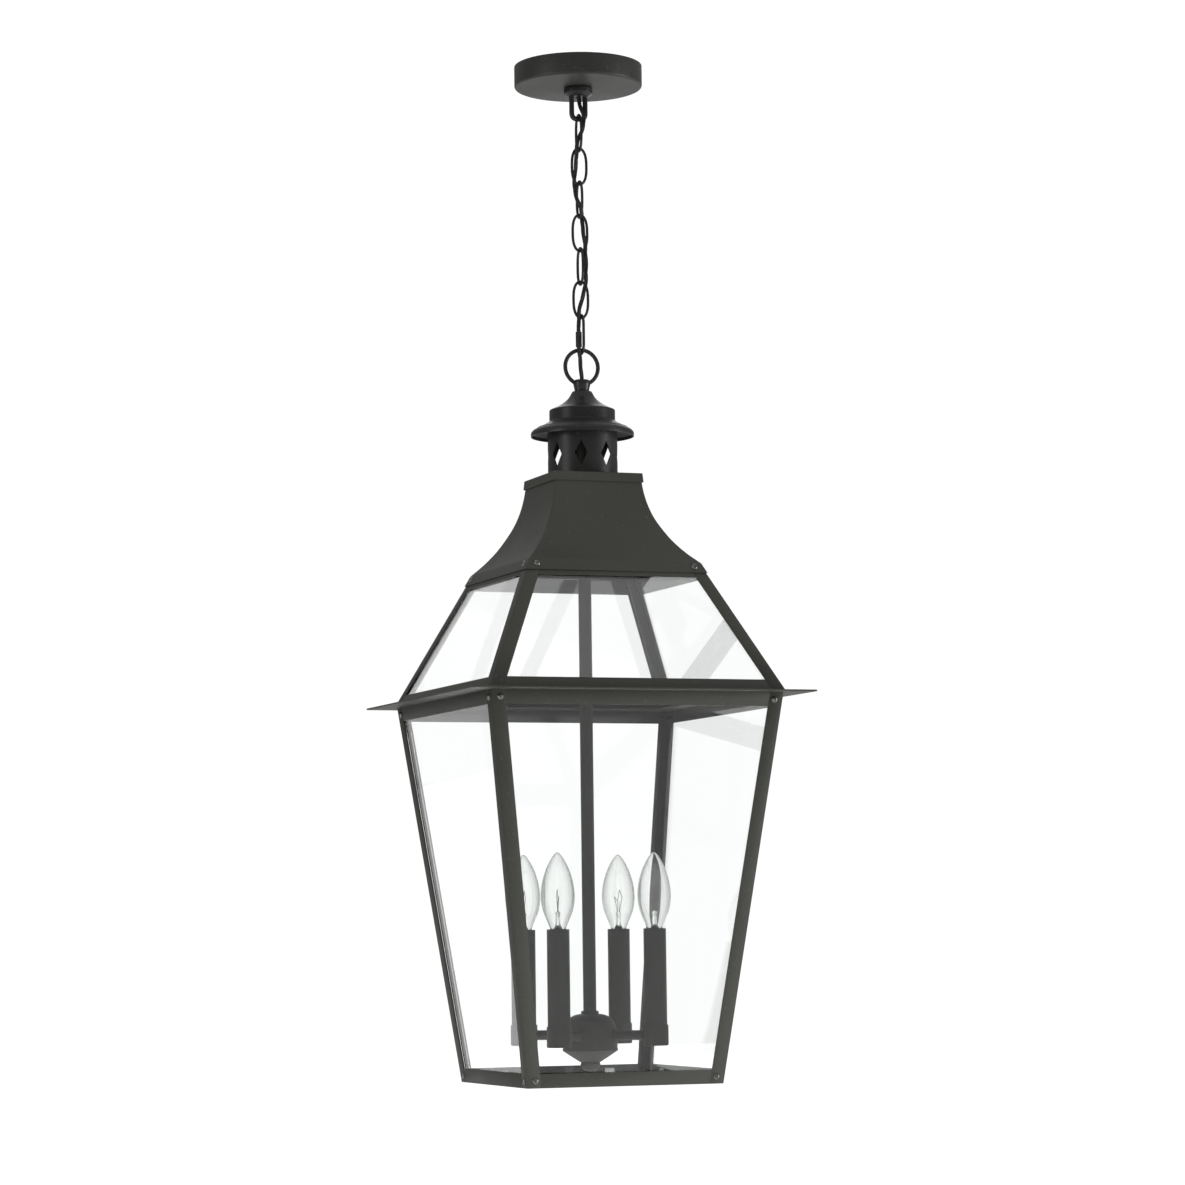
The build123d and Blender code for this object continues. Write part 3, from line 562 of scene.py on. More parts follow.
def link_tree():
    """A closed oval of round wire with a weld on one side."""
    tree, given, out = new_tree("chain link", (
        ("Finish", "NodeSocketMaterial", None),
        ("Top", "NodeSocketFloat", -0.05),
        ("Length", "NodeSocketFloat", 0.0392),
        ("Width", "NodeSocketFloat", 0.0179),
        ("Wire", "NodeSocketFloat", 0.0027),
        ("Edge on", "NodeSocketFloat", 0.0),
        ("Squareness", "NodeSocketFloat", 0.72),
        ("Weld", "NodeSocketFloat", 0.16),
    ))
    g = given.outputs

    def calc(operation, a, b=None):
        return maths(tree, operation, a, b)

    path = geo(tree, "CurvePrimitiveCircle", {"Resolution": 112, "Radius": 1.0})
    where = geo(tree, "InputPosition")
    apart = add_node(tree, "ShaderNodeSeparateXYZ", {0: where})
    u, v = apart.outputs["X"], apart.outputs["Y"]
    half_w = calc("MULTIPLY", calc("SUBTRACT", g["Width"], g["Wire"]), 0.5)
    half_l = calc("MULTIPLY", calc("SUBTRACT", g["Length"], g["Wire"]), 0.5)
    middle = calc("SUBTRACT", g["Top"], calc("MULTIPLY", g["Length"], 0.5))
    across = calc("MULTIPLY", u, half_w)
    stretch = calc("POWER", calc("ABSOLUTE", v), g["Squareness"])
    height = calc("MULTIPLY", calc("MULTIPLY", calc("SIGN", v), stretch), half_l)
    spot = combined(
        tree, calc("MULTIPLY", across, calc("SUBTRACT", 1.0, g["Edge on"])),
        calc("MULTIPLY", across, g["Edge on"]), calc("ADD", middle, height),
    )
    moved = geo(tree, "SetPosition", {"Geometry": path, "Position": spot})
    away = calc("ABSOLUTE", calc("SUBTRACT", height, 0.002))
    near = calc("SUBTRACT", 1.0, calc("MINIMUM", calc("MULTIPLY", away, 900.0), 1.0))
    swell = calc("MULTIPLY", calc("MULTIPLY", near, calc("GREATER_THAN", u, 0.0)), g["Weld"])
    thick = geo(tree, "SetCurveRadius", {
        "Curve": moved, "Radius": calc("ADD", 1.0, swell),
    })
    ring = geo(tree, "CurvePrimitiveCircle", {
        "Resolution": 16, "Radius": calc("MULTIPLY", g["Wire"], 0.5),
    })
    skin = add_node(tree, "GeometryNodeCurveToMesh", {
        "Curve": thick, "Profile Curve": ring,
    })
    if "Scale" in skin.inputs:
        size = geo(tree, "InputRadius")
        tree.links.new(size, skin.inputs["Scale"])
    close_tree(tree, given, out, skin.outputs[0])
    return tree


def screw_tree():
    """Pan-head screws with a cross recess, standing on the points of a mesh along 'facing'."""
    tree, given, out = new_tree("frame screws", (
        ("Geometry", "NodeSocketGeometry", None),
        ("Finish", "NodeSocketMaterial", None),
        ("Head", "NodeSocketFloat", 0.0066),
    ))
    radius = maths(tree, "MULTIPLY", given.outputs["Head"], 0.5)
    dome = geo(tree, "MeshUVSphere", {"Segments": 28, "Rings": 14, "Radius": radius})
    cutters = []
    for size, height in (
        ((0.0040, 0.0008, 0.0018), 0.0021), ((0.0008, 0.0040, 0.0018), 0.0021),
        ((0.01, 0.01, 0.004), -0.0022),
    ):
        block = geo(tree, "MeshCube", {"Size": size})
        cutters.append(transformed(tree, block, Translation=(0, 0, height)))
    cut = geo(tree, "MeshBoolean", {
        "Mesh 1": transformed(tree, dome, Scale=(1, 1, 0.62)), "Mesh 2": cutters,
    }, operation="DIFFERENCE")
    shank = geo(tree, "MeshCylinder", {"Vertices": 20, "Radius": 0.0015, "Depth": 0.0048})
    low = transformed(tree, shank, Translation=(0, 0, -0.0024))
    both = geo(tree, "JoinGeometry", {0: [cut, low]})
    facing = add_node(
        tree, "GeometryNodeInputNamedAttribute", {"Name": "facing"}, data_type="FLOAT_VECTOR"
    )
    turn = add_node(
        tree, "FunctionNodeAlignRotationToVector", {"Vector": facing.outputs["Attribute"]},
        axis="Z",
    )
    stand = geo(tree, "InstanceOnPoints", {
        "Points": given.outputs["Geometry"], "Instance": both,
        "Rotation": turn.outputs[0],
    })
    close_tree(tree, given, out, stand)
    return tree


def vent_tree():
    """A sheet cylinder with a rolled foot and a row of diamond cut-outs."""
    tree, given, out = new_tree("vent cylinder", (
        ("Finish", "NodeSocketMaterial", None),
        ("Radius", "NodeSocketFloat", 0.03435),
        ("Wall", "NodeSocketFloat", 0.0009),
        ("Top", "NodeSocketFloat", -0.3588),
        ("Bottom", "NodeSocketFloat", -0.4115),
        ("Diamonds", "NodeSocketInt", 8),
        ("Diamond width", "NodeSocketFloat", 0.013),
        ("Diamond height", "NodeSocketFloat", 0.0246),
        ("Diamond level", "NodeSocketFloat", -0.391),
    ))
    g = given.outputs

    def drum(radius, depth, level):
        body = geo(tree, "MeshCylinder", {"Vertices": 128, "Radius": radius, "Depth": depth})
        return transformed(tree, body, Translation=combined(tree, z=level))

    tall = maths(tree, "SUBTRACT", g["Top"], g["Bottom"])
    middle = maths(tree, "MULTIPLY", maths(tree, "ADD", g["Top"], g["Bottom"]), 0.5)
    foot_r = maths(tree, "ADD", g["Radius"], 0.001)
    foot_z = maths(tree, "ADD", g["Bottom"], 0.0008)
    whole = geo(tree, "MeshBoolean", {
        "Mesh 2": [drum(g["Radius"], tall, middle), drum(foot_r, 0.0016, foot_z)],
    }, operation="UNION")
    spike = geo(tree, "MeshCylinder", {"Vertices": 4, "Radius": 1.0, "Depth": 0.02})
    shaped = transformed(tree, spike, Scale=combined(
        tree, maths(tree, "MULTIPLY", g["Diamond height"], 0.5),
        maths(tree, "MULTIPLY", g["Diamond width"], 0.5), 1.0,
    ))
    tipped = transformed(tree, shaped, Rotation=(0, pi / 2, 0))
    ring = geo(tree, "MeshCircle", {"Vertices": g["Diamonds"], "Radius": g["Radius"]})
    raised = transformed(
        tree, ring, Rotation=(0, 0, radians(22.5)),
        Translation=combined(tree, z=g["Diamond level"]),
    )
    where = geo(tree, "InputPosition")
    flat = add_node(tree, "ShaderNodeVectorMath", {0: where, 1: (1, 1, 0)}, operation="MULTIPLY")
    turn = add_node(
        tree, "FunctionNodeAlignRotationToVector", {"Vector": flat.outputs[0]}, axis="X"
    )
    stand = geo(tree, "InstanceOnPoints", {
        "Points": raised, "Instance": tipped, "Rotation": turn.outputs[0],
    })
    real = geo(tree, "RealizeInstances", {0: stand})
    inner_r = maths(tree, "SUBTRACT", g["Radius"], g["Wall"])
    inner = drum(inner_r, maths(tree, "ADD", tall, 0.02), middle)
    cut = add_node(tree, "GeometryNodeMeshBoolean", {
        "Mesh 1": whole, "Mesh 2": [inner, real],
    }, operation="DIFFERENCE")
    close_tree(tree, given, out, cut.outputs[0])
    return tree


def knurl_tree():
    """Upright ridges around a ring."""
    tree, given, out = new_tree("collar knurl", (
        ("Finish", "NodeSocketMaterial", None),
        ("Ridges", "NodeSocketInt", 56),
        ("Radius", "NodeSocketFloat", 0.0138),
        ("Level", "NodeSocketFloat", -0.0247),
        ("Height", "NodeSocketFloat", 0.0046),
    ))
    g = given.outputs
    ring = add_node(
        tree, "GeometryNodeMeshCircle", {"Vertices": g["Ridges"], "Radius": g["Radius"]}
    )
    ridge = geo(tree, "MeshCylinder", {
        "Vertices": 8, "Radius": 0.00042, "Depth": g["Height"],
    })
    stand = geo(tree, "InstanceOnPoints", {
        "Points": transformed(tree, ring.outputs[0], Translation=combined(tree, z=g["Level"])),
        "Instance": ridge,
    })
    close_tree(tree, given, out, stand)
    return tree


# ---------------------------------------------------------------- operators


class LANTERN_OT_canopy(bpy.types.Operator):
    """Spun canopy, its screw collar, and the loop that carries the chain"""

    bl_idname = "lantern.canopy"
    bl_label = "Canopy"

    def execute(self, context):
        sizes = context.scene.lantern_sizes
        pan = rounded([
            (9.6, -21.5), (63.5, -21.5, 2.6), (63.5, 0.0, 0.4), (62.5, 0.0, 0.4),
            (62.5, -20.5, 1.8), (9.6, -20.5),
        ])
        settle("canopy_pan", turned(pan, 160), "canopy paint", "canopy", "ceiling_fixing")
        nut = rounded([
            (9.55, -21.8), (13.0, -21.8, 0.4), (14.0, -22.4, 0.5), (14.0, -27.4, 1.2),
            (10.6, -30.2, 0.8), (9.55, -30.2),
        ])
        settle("screw_collar", turned(nut, 112), "black enamel", "canopy_collar", "collar")
        enamel = finish("black enamel")
        ridges = grown(knurl_tree(), {"Finish": enamel, "Ridges": sizes.knurl_count})
        settle("collar_knurl", ridges, "black enamel", "canopy_collar", "collar")
        stem = []
        for k in range(14):
            z = -15.0 - k * 1.1
            stem += [(9.5, z), (9.15, z - 0.55)]
        stem = [(3.0, -24.2), (4.85, -24.2), (4.85, -14.0), (9.1, -14.0, 0.3)] + stem
        stem = rounded(stem + [(9.4, -30.9, 0.4), (3.0, -31.0)])
        shape = turned(stem, 96)
        half, low = 7.1, -53.0
        corners = [(-half, -30.6), (-half, low, 6.0), (half, low, 6.0), (half, -30.6)]
        eye = rounded(corners, steps=10)
        tube(shape, [(x * MM, 0, z * MM) for x, z in eye], 2.5 * MM, sides=24)
        settle("chain_loop", shape, "black enamel", "canopy_loop", "ceiling_fixing")
        refinish("zinc steel", "crossbar", "canopy_nipple", "nipple_locknut")
        refinish("earth green", "ground_screw")
        return {"FINISHED"}


class LANTERN_OT_chain(bpy.types.Operator):
    """Six wire links, the quick link with its sleeve nut, and the hanging ring"""

    bl_idname = "lantern.chain"
    bl_label = "Chain and ring"

    def execute(self, context):
        sizes = context.scene.lantern_sizes
        tree = link_tree()
        wire = sizes.link_wire
        upper = 2.5 * MM
        for n in range(1, 7):
            mesh = grown(tree, {
                "Finish": finish("black enamel"),
                "Top": HINGES[n - 1] * MM + upper + 0.3 * MM + wire,
                "Length": sizes.link_length, "Width": sizes.link_width, "Wire": wire,
                "Edge on": float(n % 2),
            })
            settle(f"link_{n}_wire", mesh, "black enamel", f"chain_link_{n}", f"link_{n}")
            upper = wire / 2
        top, half, r = -248.4, 7.1, 1.4
        middle, side = top - 20.8, 14.2
        oval = [
            (half, middle - 10.2), (half, middle - side, 4.0), (2.2, middle - 19.4, 3.6),
            (-2.2, middle - 19.4, 3.6), (-half, middle - side, 4.0), (-half, middle + side, 4.0),
            (-2.2, middle + 19.4, 3.6), (2.2, middle + 19.4, 3.6), (half, middle + side, 4.0),
            (half, middle - 4.9),
        ]
        path = [(0, y * MM, z * MM) for y, z in rounded(oval, steps=8)]
        shape = tube(bmesh.new(), path, r * MM, sides=20)
        settle("quick_link_wire", shape, "black enamel", "quick_link", "quick_link")
        shape = bmesh.new()
        low, tall, flat = middle - 11.8, 15.5, 2.85
        edge = flat / cos(pi / 6)
        levels = []
        for lift, draw in ((0, 0.35), (0.45, 0), (tall - 0.45, 0), (tall, 0.35)):
            levels.append((low + lift, edge - draw))
        place = Matrix.Translation((0, half * MM, 0))
        inner = r + 0.12
        hexagon = [(inner, low)] + [(e, z) for z, e in levels] + [(inner, low + tall)]
        lathe(shape, hexagon, turns=6, place=place)
        soften(shape, 0.25 * MM, angle=20)
        settle("sleeve_nut", shape, "black enamel", "quick_link_sleeve", "sleeve_nut", sharp=25)
        gap = 15.2
        angles = [radians(-90 + gap + k * (360 - 2 * gap) / 120) for k in range(121)]
        path = [(17.15 * cos(a) * MM, 0, (RING_CENTRE + 17.15 * sin(a)) * MM) for a in angles]
        shape = tube(bmesh.new(), path, 2.0 * MM, sides=24)
        settle("ring_wire", shape, "black enamel", "hanging_ring")
        knob = rounded([
            (2.7, -321.3), (2.7, -314.4, 0.6), (6.2, -314.4, 1.4), (8.5, -315.6, 1.8),
            (8.5, -319.5, 3.0), (7.3, -324.0, 1.2), (7.3, -326.0, 0.3), (6.4, -326.0),
            (6.4, -321.3),
        ])
        settle("ring_knob_body", turned(knob, 80), "black enamel", "ring_knob")
        return {"FINISHED"}


class LANTERN_OT_lead(bpy.types.Operator):
    """Supply lead of three thin wires, woven through the chain, in a length for each hinge"""

    bl_idname = "lantern.lead"
    bl_label = "Supply lead"

    def execute(self, context):
        twist = context.scene.lantern_sizes.wire_twist
        line = bpy.data.curves.new("lead_route", "CURVE")
        line.dimensions = "3D"
        spline = line.splines.new("NURBS")
        spline.points.add(len(LEAD_ROUTE) - 1)
        for point, place in zip(spline.points, LEAD_ROUTE):
            point.co = (*place, 1)
        spline.order_u = 3
        spline.use_endpoint_u = True
        spline.resolution_u = 24
        guide = bpy.data.objects.new("lead_route", line)
        context.scene.collection.objects.link(guide)
        context.view_layer.update()
        graph = context.evaluated_depsgraph_get()
        mesh = bpy.data.meshes.new_from_object(guide.evaluated_get(graph))
        route = [v.co.copy() for v in mesh.vertices]
        bpy.data.meshes.remove(mesh)
        bpy.data.objects.remove(guide)
        bpy.data.curves.remove(line)
        run = [0.0]
        for a, b in zip(route, route[1:]):
            run.append(run[-1] + (b - a).length)
        cuts = [0]
        for z in LEAD_CUTS:
            cuts.append(min(range(len(route)), key=lambda i: abs(route[i].z - z * MM)))
        cuts.append(len(route) - 1)
        for n, (first, last) in enumerate(zip(cuts, cuts[1:])):
            part = route[first : last + 1]
            shape = bmesh.new()
            for wire in range(3):
                def lay(i, wire=wire):
                    turn = 2 * pi * (run[first + i] / twist + wire / 3)
                    return STRAND_OUT * MM * cos(turn), STRAND_OUT * MM * sin(turn)
                strand(shape, part, lay)
            piece = settle(f"lead_{n + 1}", shape, "lead cover", "supply_cord", None)
            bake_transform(piece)
        return {"FINISHED"}


def strand(shape, part, lay):
    """One wire of the lead, kept off the centreline and turned steadily about it."""
    rings = []
    for i, here in enumerate(part):
        along = (part[min(i + 1, len(part) - 1)] - part[max(i - 1, 0)]).normalized()
        across = Vector((1, 0, 0))
        across = (across - along * across.dot(along)).normalized()
        other = along.cross(across)
        u, v = lay(i)
        centre = here + across * u + other * v
        rings.append(round_ring(shape, centre, across, other, STRAND_R * MM, 10))
    stitch(shape, rings)


class LANTERN_OT_chimney(bpy.types.Operator):
    """Spun chimney cap and the vent cylinder with its diamonds"""

    bl_idname = "lantern.chimney"
    bl_label = "Chimney"

    def execute(self, context):
        sizes = context.scene.lantern_sizes
        outer = [(6.4, -326.0), (8.4, -326.0)] + flowing([
            (9.6, -326.6), (10.8, -328.6), (13.4, -332.9), (17.6, -336.9), (23.6, -340.9),
            (29.9, -343.8),
        ]) + rounded([
            (30.6, -344.1), (32.5, -345.0, 1.2), (32.5, -356.0, 0.7), (35.0, -357.7, 0.5),
            (43.6, -362.2, 0.3), (44.6, -362.1, 0.4), (45.6, -363.2, 0.3), (48.6, -364.8, 0.8),
            (50.9, -367.2, 1.6), (50.9, -371.3, 0.3),
        ])
        inner = [(49.9, -371.3), (49.9, -368.2), (47.9, -365.6), (44.4, -364.0), (34.6, -358.9),
                 (31.5, -356.8), (31.5, -346.0), (29.6, -344.9), (23.2, -342.0), (17.0, -338.0),
                 (12.6, -333.6), (9.9, -329.0), (8.2, -327.0), (6.4, -327.0)]
        settle("chimney_cap_spinning", turned(outer + inner, 144), "chimney paint", "chimney_cap")
        mesh = grown(vent_tree(), {
            "Finish": finish("chimney paint"), "Diamonds": sizes.diamond_count,
            "Diamond width": sizes.diamond_width, "Diamond height": sizes.diamond_height,
        })
        settle("vent_drum", mesh, "chimney paint", "vent_cylinder")
        return {"FINISHED"}


def square_shell(shape, outer, inner, nick=0.8):
    """Adds a square shell through (half-width, z) levels, its corners nicked."""
    rings = []
    for half, z in outer + inner:
        n = min(nick, half / 4)
        corner = [(half, -half + n), (half, half - n), (half - n, half), (-half + n, half),
                  (-half, half - n), (-half, -half + n), (-half + n, -half), (half - n, -half)]
        rings.append([shape.verts.new(Vector((x, y, z)) * MM) for x, y in corner])
    return stitch(shape, rings, caps=False, loop=True)


class LANTERN_OT_hood(bpy.types.Operator):
    """Concave sheet hood with its lid"""

    bl_idname = "lantern.hood"
    bl_label = "Hood"

    def execute(self, context):
        knee = half_width("roof", -503.5) + SHEET
        foot = half_width("roof", -513.0) + SHEET
        sweep = flowing([
            (44.9, -420.4), (46.4, -430.4), (49.2, -442.6), (53.6, -455.2), (59.9, -467.6),
            (67.9, -480.4), (77.6, -492.3), (knee - 1.4, -502.0),
        ], steps=5)
        outer = [(43.9, -413.0)] + sweep + [(knee, -503.4), (foot, -513.0)]
        inner = [(half - SHEET, z) for half, z in reversed(outer)]
        settle(
            "hood_sheet", square_shell(bmesh.new(), outer, inner), "frame paint", "hood", sharp=24
        )
        shape = bmesh.new()
        top, low = -411.5, -420.4
        tray = [(45.2, top), (45.65, top - 0.45), (46.4, low)]
        under = [(46.4 - SHEET, low), (45.6 - SHEET, top - SHEET)]
        square_shell(shape, [(28.0, top)] + tray, under + [(28.0, top - SHEET)])
        x0, x1, y0 = 12.75, 26.25, 18.0
        for sign in (-1, 1):
            a, b = sorted((sign * x1, sign * 28.0))
            bar(shape, a, b, -28.0, 28.0, top - SHEET, top)
            bar(shape, -28.0, 28.0, *sorted((sign * y0, sign * 28.0)), top - SHEET, top)
        bar(shape, -x0, -7.2, -y0, y0, top - SHEET, top)
        bar(shape, 7.2, x0, -y0, y0, top - SHEET, top)
        bar(shape, -7.2, 7.2, -y0, -7.2, top - SHEET, top)
        bar(shape, -7.2, 7.2, 7.2, y0, top - SHEET, top)
        settle("hood_lid", shape, "frame paint", "hood_cap", outward=False, sharp=24)
        refinish("zinc steel", "rod_nut")
        return {"FINISHED"}


def bar(shape, x0, x1, y0, y1, z0, z1):
    """Adds a flat bar."""
    return loft(
        shape,
        [(x0, y0, z0), (x1, y0, z0), (x1, y1, z0), (x0, y1, z0)],
        [(x0, y0, z1), (x1, y0, z1), (x1, y1, z1), (x0, y1, z1)],
    )


def strip(shape, part_of, z_top, z_bottom, depth, thick, left, right, levels=2):
    """Adds a flat strip that follows each of the four faces."""
    for turn in range(4):
        rings = []
        for k in range(levels):
            z = z_bottom + (z_top - z_bottom) * k / (levels - 1)
            out = half_width(part_of, z)
            x0, x1 = left(out), right(out)
            near, far = -out + depth, -out + depth + thick
            corners = [(x0, near, z), (x1, near, z), (x1, far, z), (x0, far, z)]
            rings.append([quarter_turns(p)[turn] for p in corners])
        loft(shape, *rings)
    return shape


def posts(shape, part_of, z_top, z_bottom):
    """Adds four corner angles."""
    for turn in range(4):
        rings = []
        for z in (z_bottom, z_top):
            c = -half_width(part_of, z)
            corners = [(c, c), (c + FLANGE, c), (c + FLANGE, c + SHEET), (c + SHEET, c + SHEET),
                       (c + SHEET, c + FLANGE), (c, c + FLANGE)]
            rings.append([quarter_turns((x, y, z))[turn] for x, y in corners])
        loft(shape, *rings)
    return shape


class LANTERN_OT_frame(bpy.types.Operator):
    """Roof and body posts and rails, the eave plate, brackets, clips and screws"""

    bl_idname = "lantern.frame"
    bl_label = "Frame"

    def execute(self, context):
        sizes = context.scene.lantern_sizes
        edge = sizes.sheet_edge
        for part_of, top, bottom, rails in (
            ("roof", ROOF_TOP, PLATE_TOP, ((ROOF_TOP, -518.0), (-619.5, PLATE_TOP))),
            ("body", BODY_TOP, BODY_BOTTOM, ((BODY_TOP, -645.0), (-989.5, BODY_BOTTOM))),
        ):
            shape = soften(posts(bmesh.new(), part_of, top, bottom), edge)
            settle(f"{part_of}_corner_posts", shape, "frame paint", f"{part_of}_posts", sharp=24)
            shape = bmesh.new()
            for high, low in rails:
                strip(shape, part_of, high, low, 0, SHEET, lambda out: FLANGE - out,
                      lambda out: out - FLANGE)
            if part_of == "body":
                strip(shape, part_of, BODY_BOTTOM + 1.3, BODY_BOTTOM, SHEET, 6.6,
                      lambda out: FLANGE - out, lambda out: out - FLANGE)
            soften(shape, edge * 0.6)
            settle(f"{part_of}_cross_rails", shape, "frame paint", f"{part_of}_rails", sharp=24)
        shape = bmesh.new()
        rings = []
        for half, z in ((172.5, 0.0), (172.5, -1.6), (124.0, -1.6), (124.0, 0.0)):
            rings.append((half, PLATE_TOP + z))
        square_shell(shape, rings[:2], rings[2:], nick=2.0)
        soften(shape, 0.4 * MM, angle=60)
        settle("eave_sheet", shape, "frame paint", "eave_plate", sharp=24)
        points = bpy.data.meshes.new("screw places")
        spots, aims = [], []
        for part_of, z, proud in SCREW_ROWS:
            out = half_width(part_of, z)
            for u in (SCREW_IN - out, out - SCREW_IN):
                places = quarter_turns((u, -out - proud, z))
                for spot, aim in zip(places, quarter_turns((0, -1, SLOPES[part_of]))):
                    spots.append([c * MM for c in spot])
                    aims.append(Vector(aim).normalized())
        points.from_pydata(spots, [], [])
        facing = points.attributes.new("facing", "FLOAT_VECTOR", "POINT")
        for item, aim in zip(facing.data, aims):
            item.vector = aim
        values = {"Finish": finish("screw steel"), "Head": sizes.screw_head}
        mesh = grown(screw_tree(), values, points)
        settle("pan_head_screws", mesh, "screw steel", "frame_screws")
        refinish("frame paint", "corner_brackets")
        refinish("zinc steel", "glass_clips")
        return {"FINISHED"}


class LANTERN_OT_panes(bpy.types.Operator):
    """Four roof panes and four body panes"""

    bl_idname = "lantern.panes"
    bl_label = "Panes"

    def execute(self, context):
        for part_of, top, bottom in (("roof", ROOF_TOP - 0.8, PLATE_TOP + 0.3),
                                     ("body", BODY_TOP - 0.3, BODY_BOTTOM + 1.4)):
            for turn, side in enumerate(("front", "right", "back", "left")):
                rings = []
                for z in (bottom, top):
                    out = half_width(part_of, z)
                    x, near, far = out - 11.5, SHEET + PANE_GAP - out, SHEET + PANE - out
                    corners = [(-x, near, z), (x, near, z), (x, far, z), (-x, far, z)]
                    rings.append([quarter_turns(p)[turn] for p in corners])
                shape = soften(loft(bmesh.new(), *rings), 0.3 * MM, segments=1)
                look = "roof glass" if part_of == "roof" else "window glass"
                settle(f"{part_of}_glass_{side}", shape, look, f"{part_of}_pane_{side}", sharp=20)
        return {"FINISHED"}


class LANTERN_OT_cluster(bpy.types.Operator):
    """Centre rod, cluster body, arms, cups and candle sleeves"""

    bl_idname = "lantern.cluster"
    bl_label = "Candle cluster"

    def execute(self, context):
        look = "candle paint"
        rod = rounded([
            (ROD_R, -321.5, 0.3), (ROD_R, -939.0, 0.3), (5.1, -939.0), (5.1, -321.5),
        ], True)
        settle("rod_tube", turned(rod, 64), look, "centre_rod")
        ring = rounded([(6.4, -936.3), (8.4, -936.3, 0.3), (8.7, -934.9, 0.6), (8.3, -933.5, 0.8),
                        (6.4, -933.5)])
        settle("rod_seat", turned(ring, 64), look, "rod_collar")
        dome = [(6.4, -936.3), (8.6, -936.3)] + flowing([
            (9.0, -936.4), (15.5, -937.8), (21.4, -941.6), (25.1, -947.5), (26.5, -954.5),
        ]) + [(26.5, -969.6), (26.2, -970.0), (25.3, -970.0), (25.3, -954.5)] + flowing([
            (23.8, -948.4), (20.4, -942.8), (15.2, -939.1), (9.0, -937.5), (6.4, -937.5),
        ])
        settle("cluster_upper", turned(dome, 96), look, "cluster_dome")
        bowl = rounded([
            (27.1, -970.0, 0.3), (27.1, -971.8, 0.7), (17.5, -978.2, 3.0), (9.8, -983.0, 0.8),
            (3.1, -983.0), (3.1, -981.6), (9.3, -981.6), (25.9, -971.0), (25.9, -970.0),
        ], True)
        settle("cluster_lower", turned(bowl, 96), look, "cluster_bowl")
        ball = [(0, -962.0), (3.0, -962.0), (3.0, -983.0), (8.8, -983.0)] + flowing([
            (9.2, -983.3), (9.7, -985.2), (8.4, -988.8), (4.9, -991.3), (0.8, -992.0),
        ]) + [(0, -992.0)]
        settle("cluster_ball", turned(ball, 64), look, "cluster_finial")
        shape = bmesh.new()
        arm = rounded([
            (3.6, 23.4), (4.75, 23.4), (4.75, 57.0), (3.6, 57.0),
        ])
        collar = rounded([(4.75, 26.2), (5.6, 26.2, 0.4), (5.6, 28.2, 0.4), (4.75, 28.2)])
        for angle in (45, 135, 225, 315):
            place = (
                Matrix.Translation((0, 0, -957 * MM)) @ Matrix.Rotation(radians(angle), 4, "Z")
                @ Matrix.Rotation(pi / 2, 4, "Y")
            )
            lathe(shape, arm, turns=40, place=place)
            lathe(shape, collar, turns=40, place=place)
        settle("arm_tubes", shape, look, "candle_arms")
        cups, sleeves = bmesh.new(), bmesh.new()
        cup = rounded([
            (4.0, -967.0), (12.0, -967.0, 1.4), (12.0, -947.3, 0.3), (11.7, -947.0),
            (11.1, -947.0),
            (11.1, -966.1, 0.6), (4.0, -966.1),
        ])
        sleeve = rounded([
            (10.9, -965.4), (10.9, -854.5, 0.3), (10.0, -854.5, 0.3), (10.0, -965.4),
        ], True)
        for spot in CANDLES:
            lathe(cups, cup, at=spot, turns=64)
            lathe(sleeves, sleeve, at=spot, turns=64)
        settle("sleeve_cups", cups, look, "candle_cups")
        settle("sleeve_tubes", sleeves, look, "candle_sleeves")
        refinish("socket moulding", "lamp_sockets")
        return {"FINISHED"}


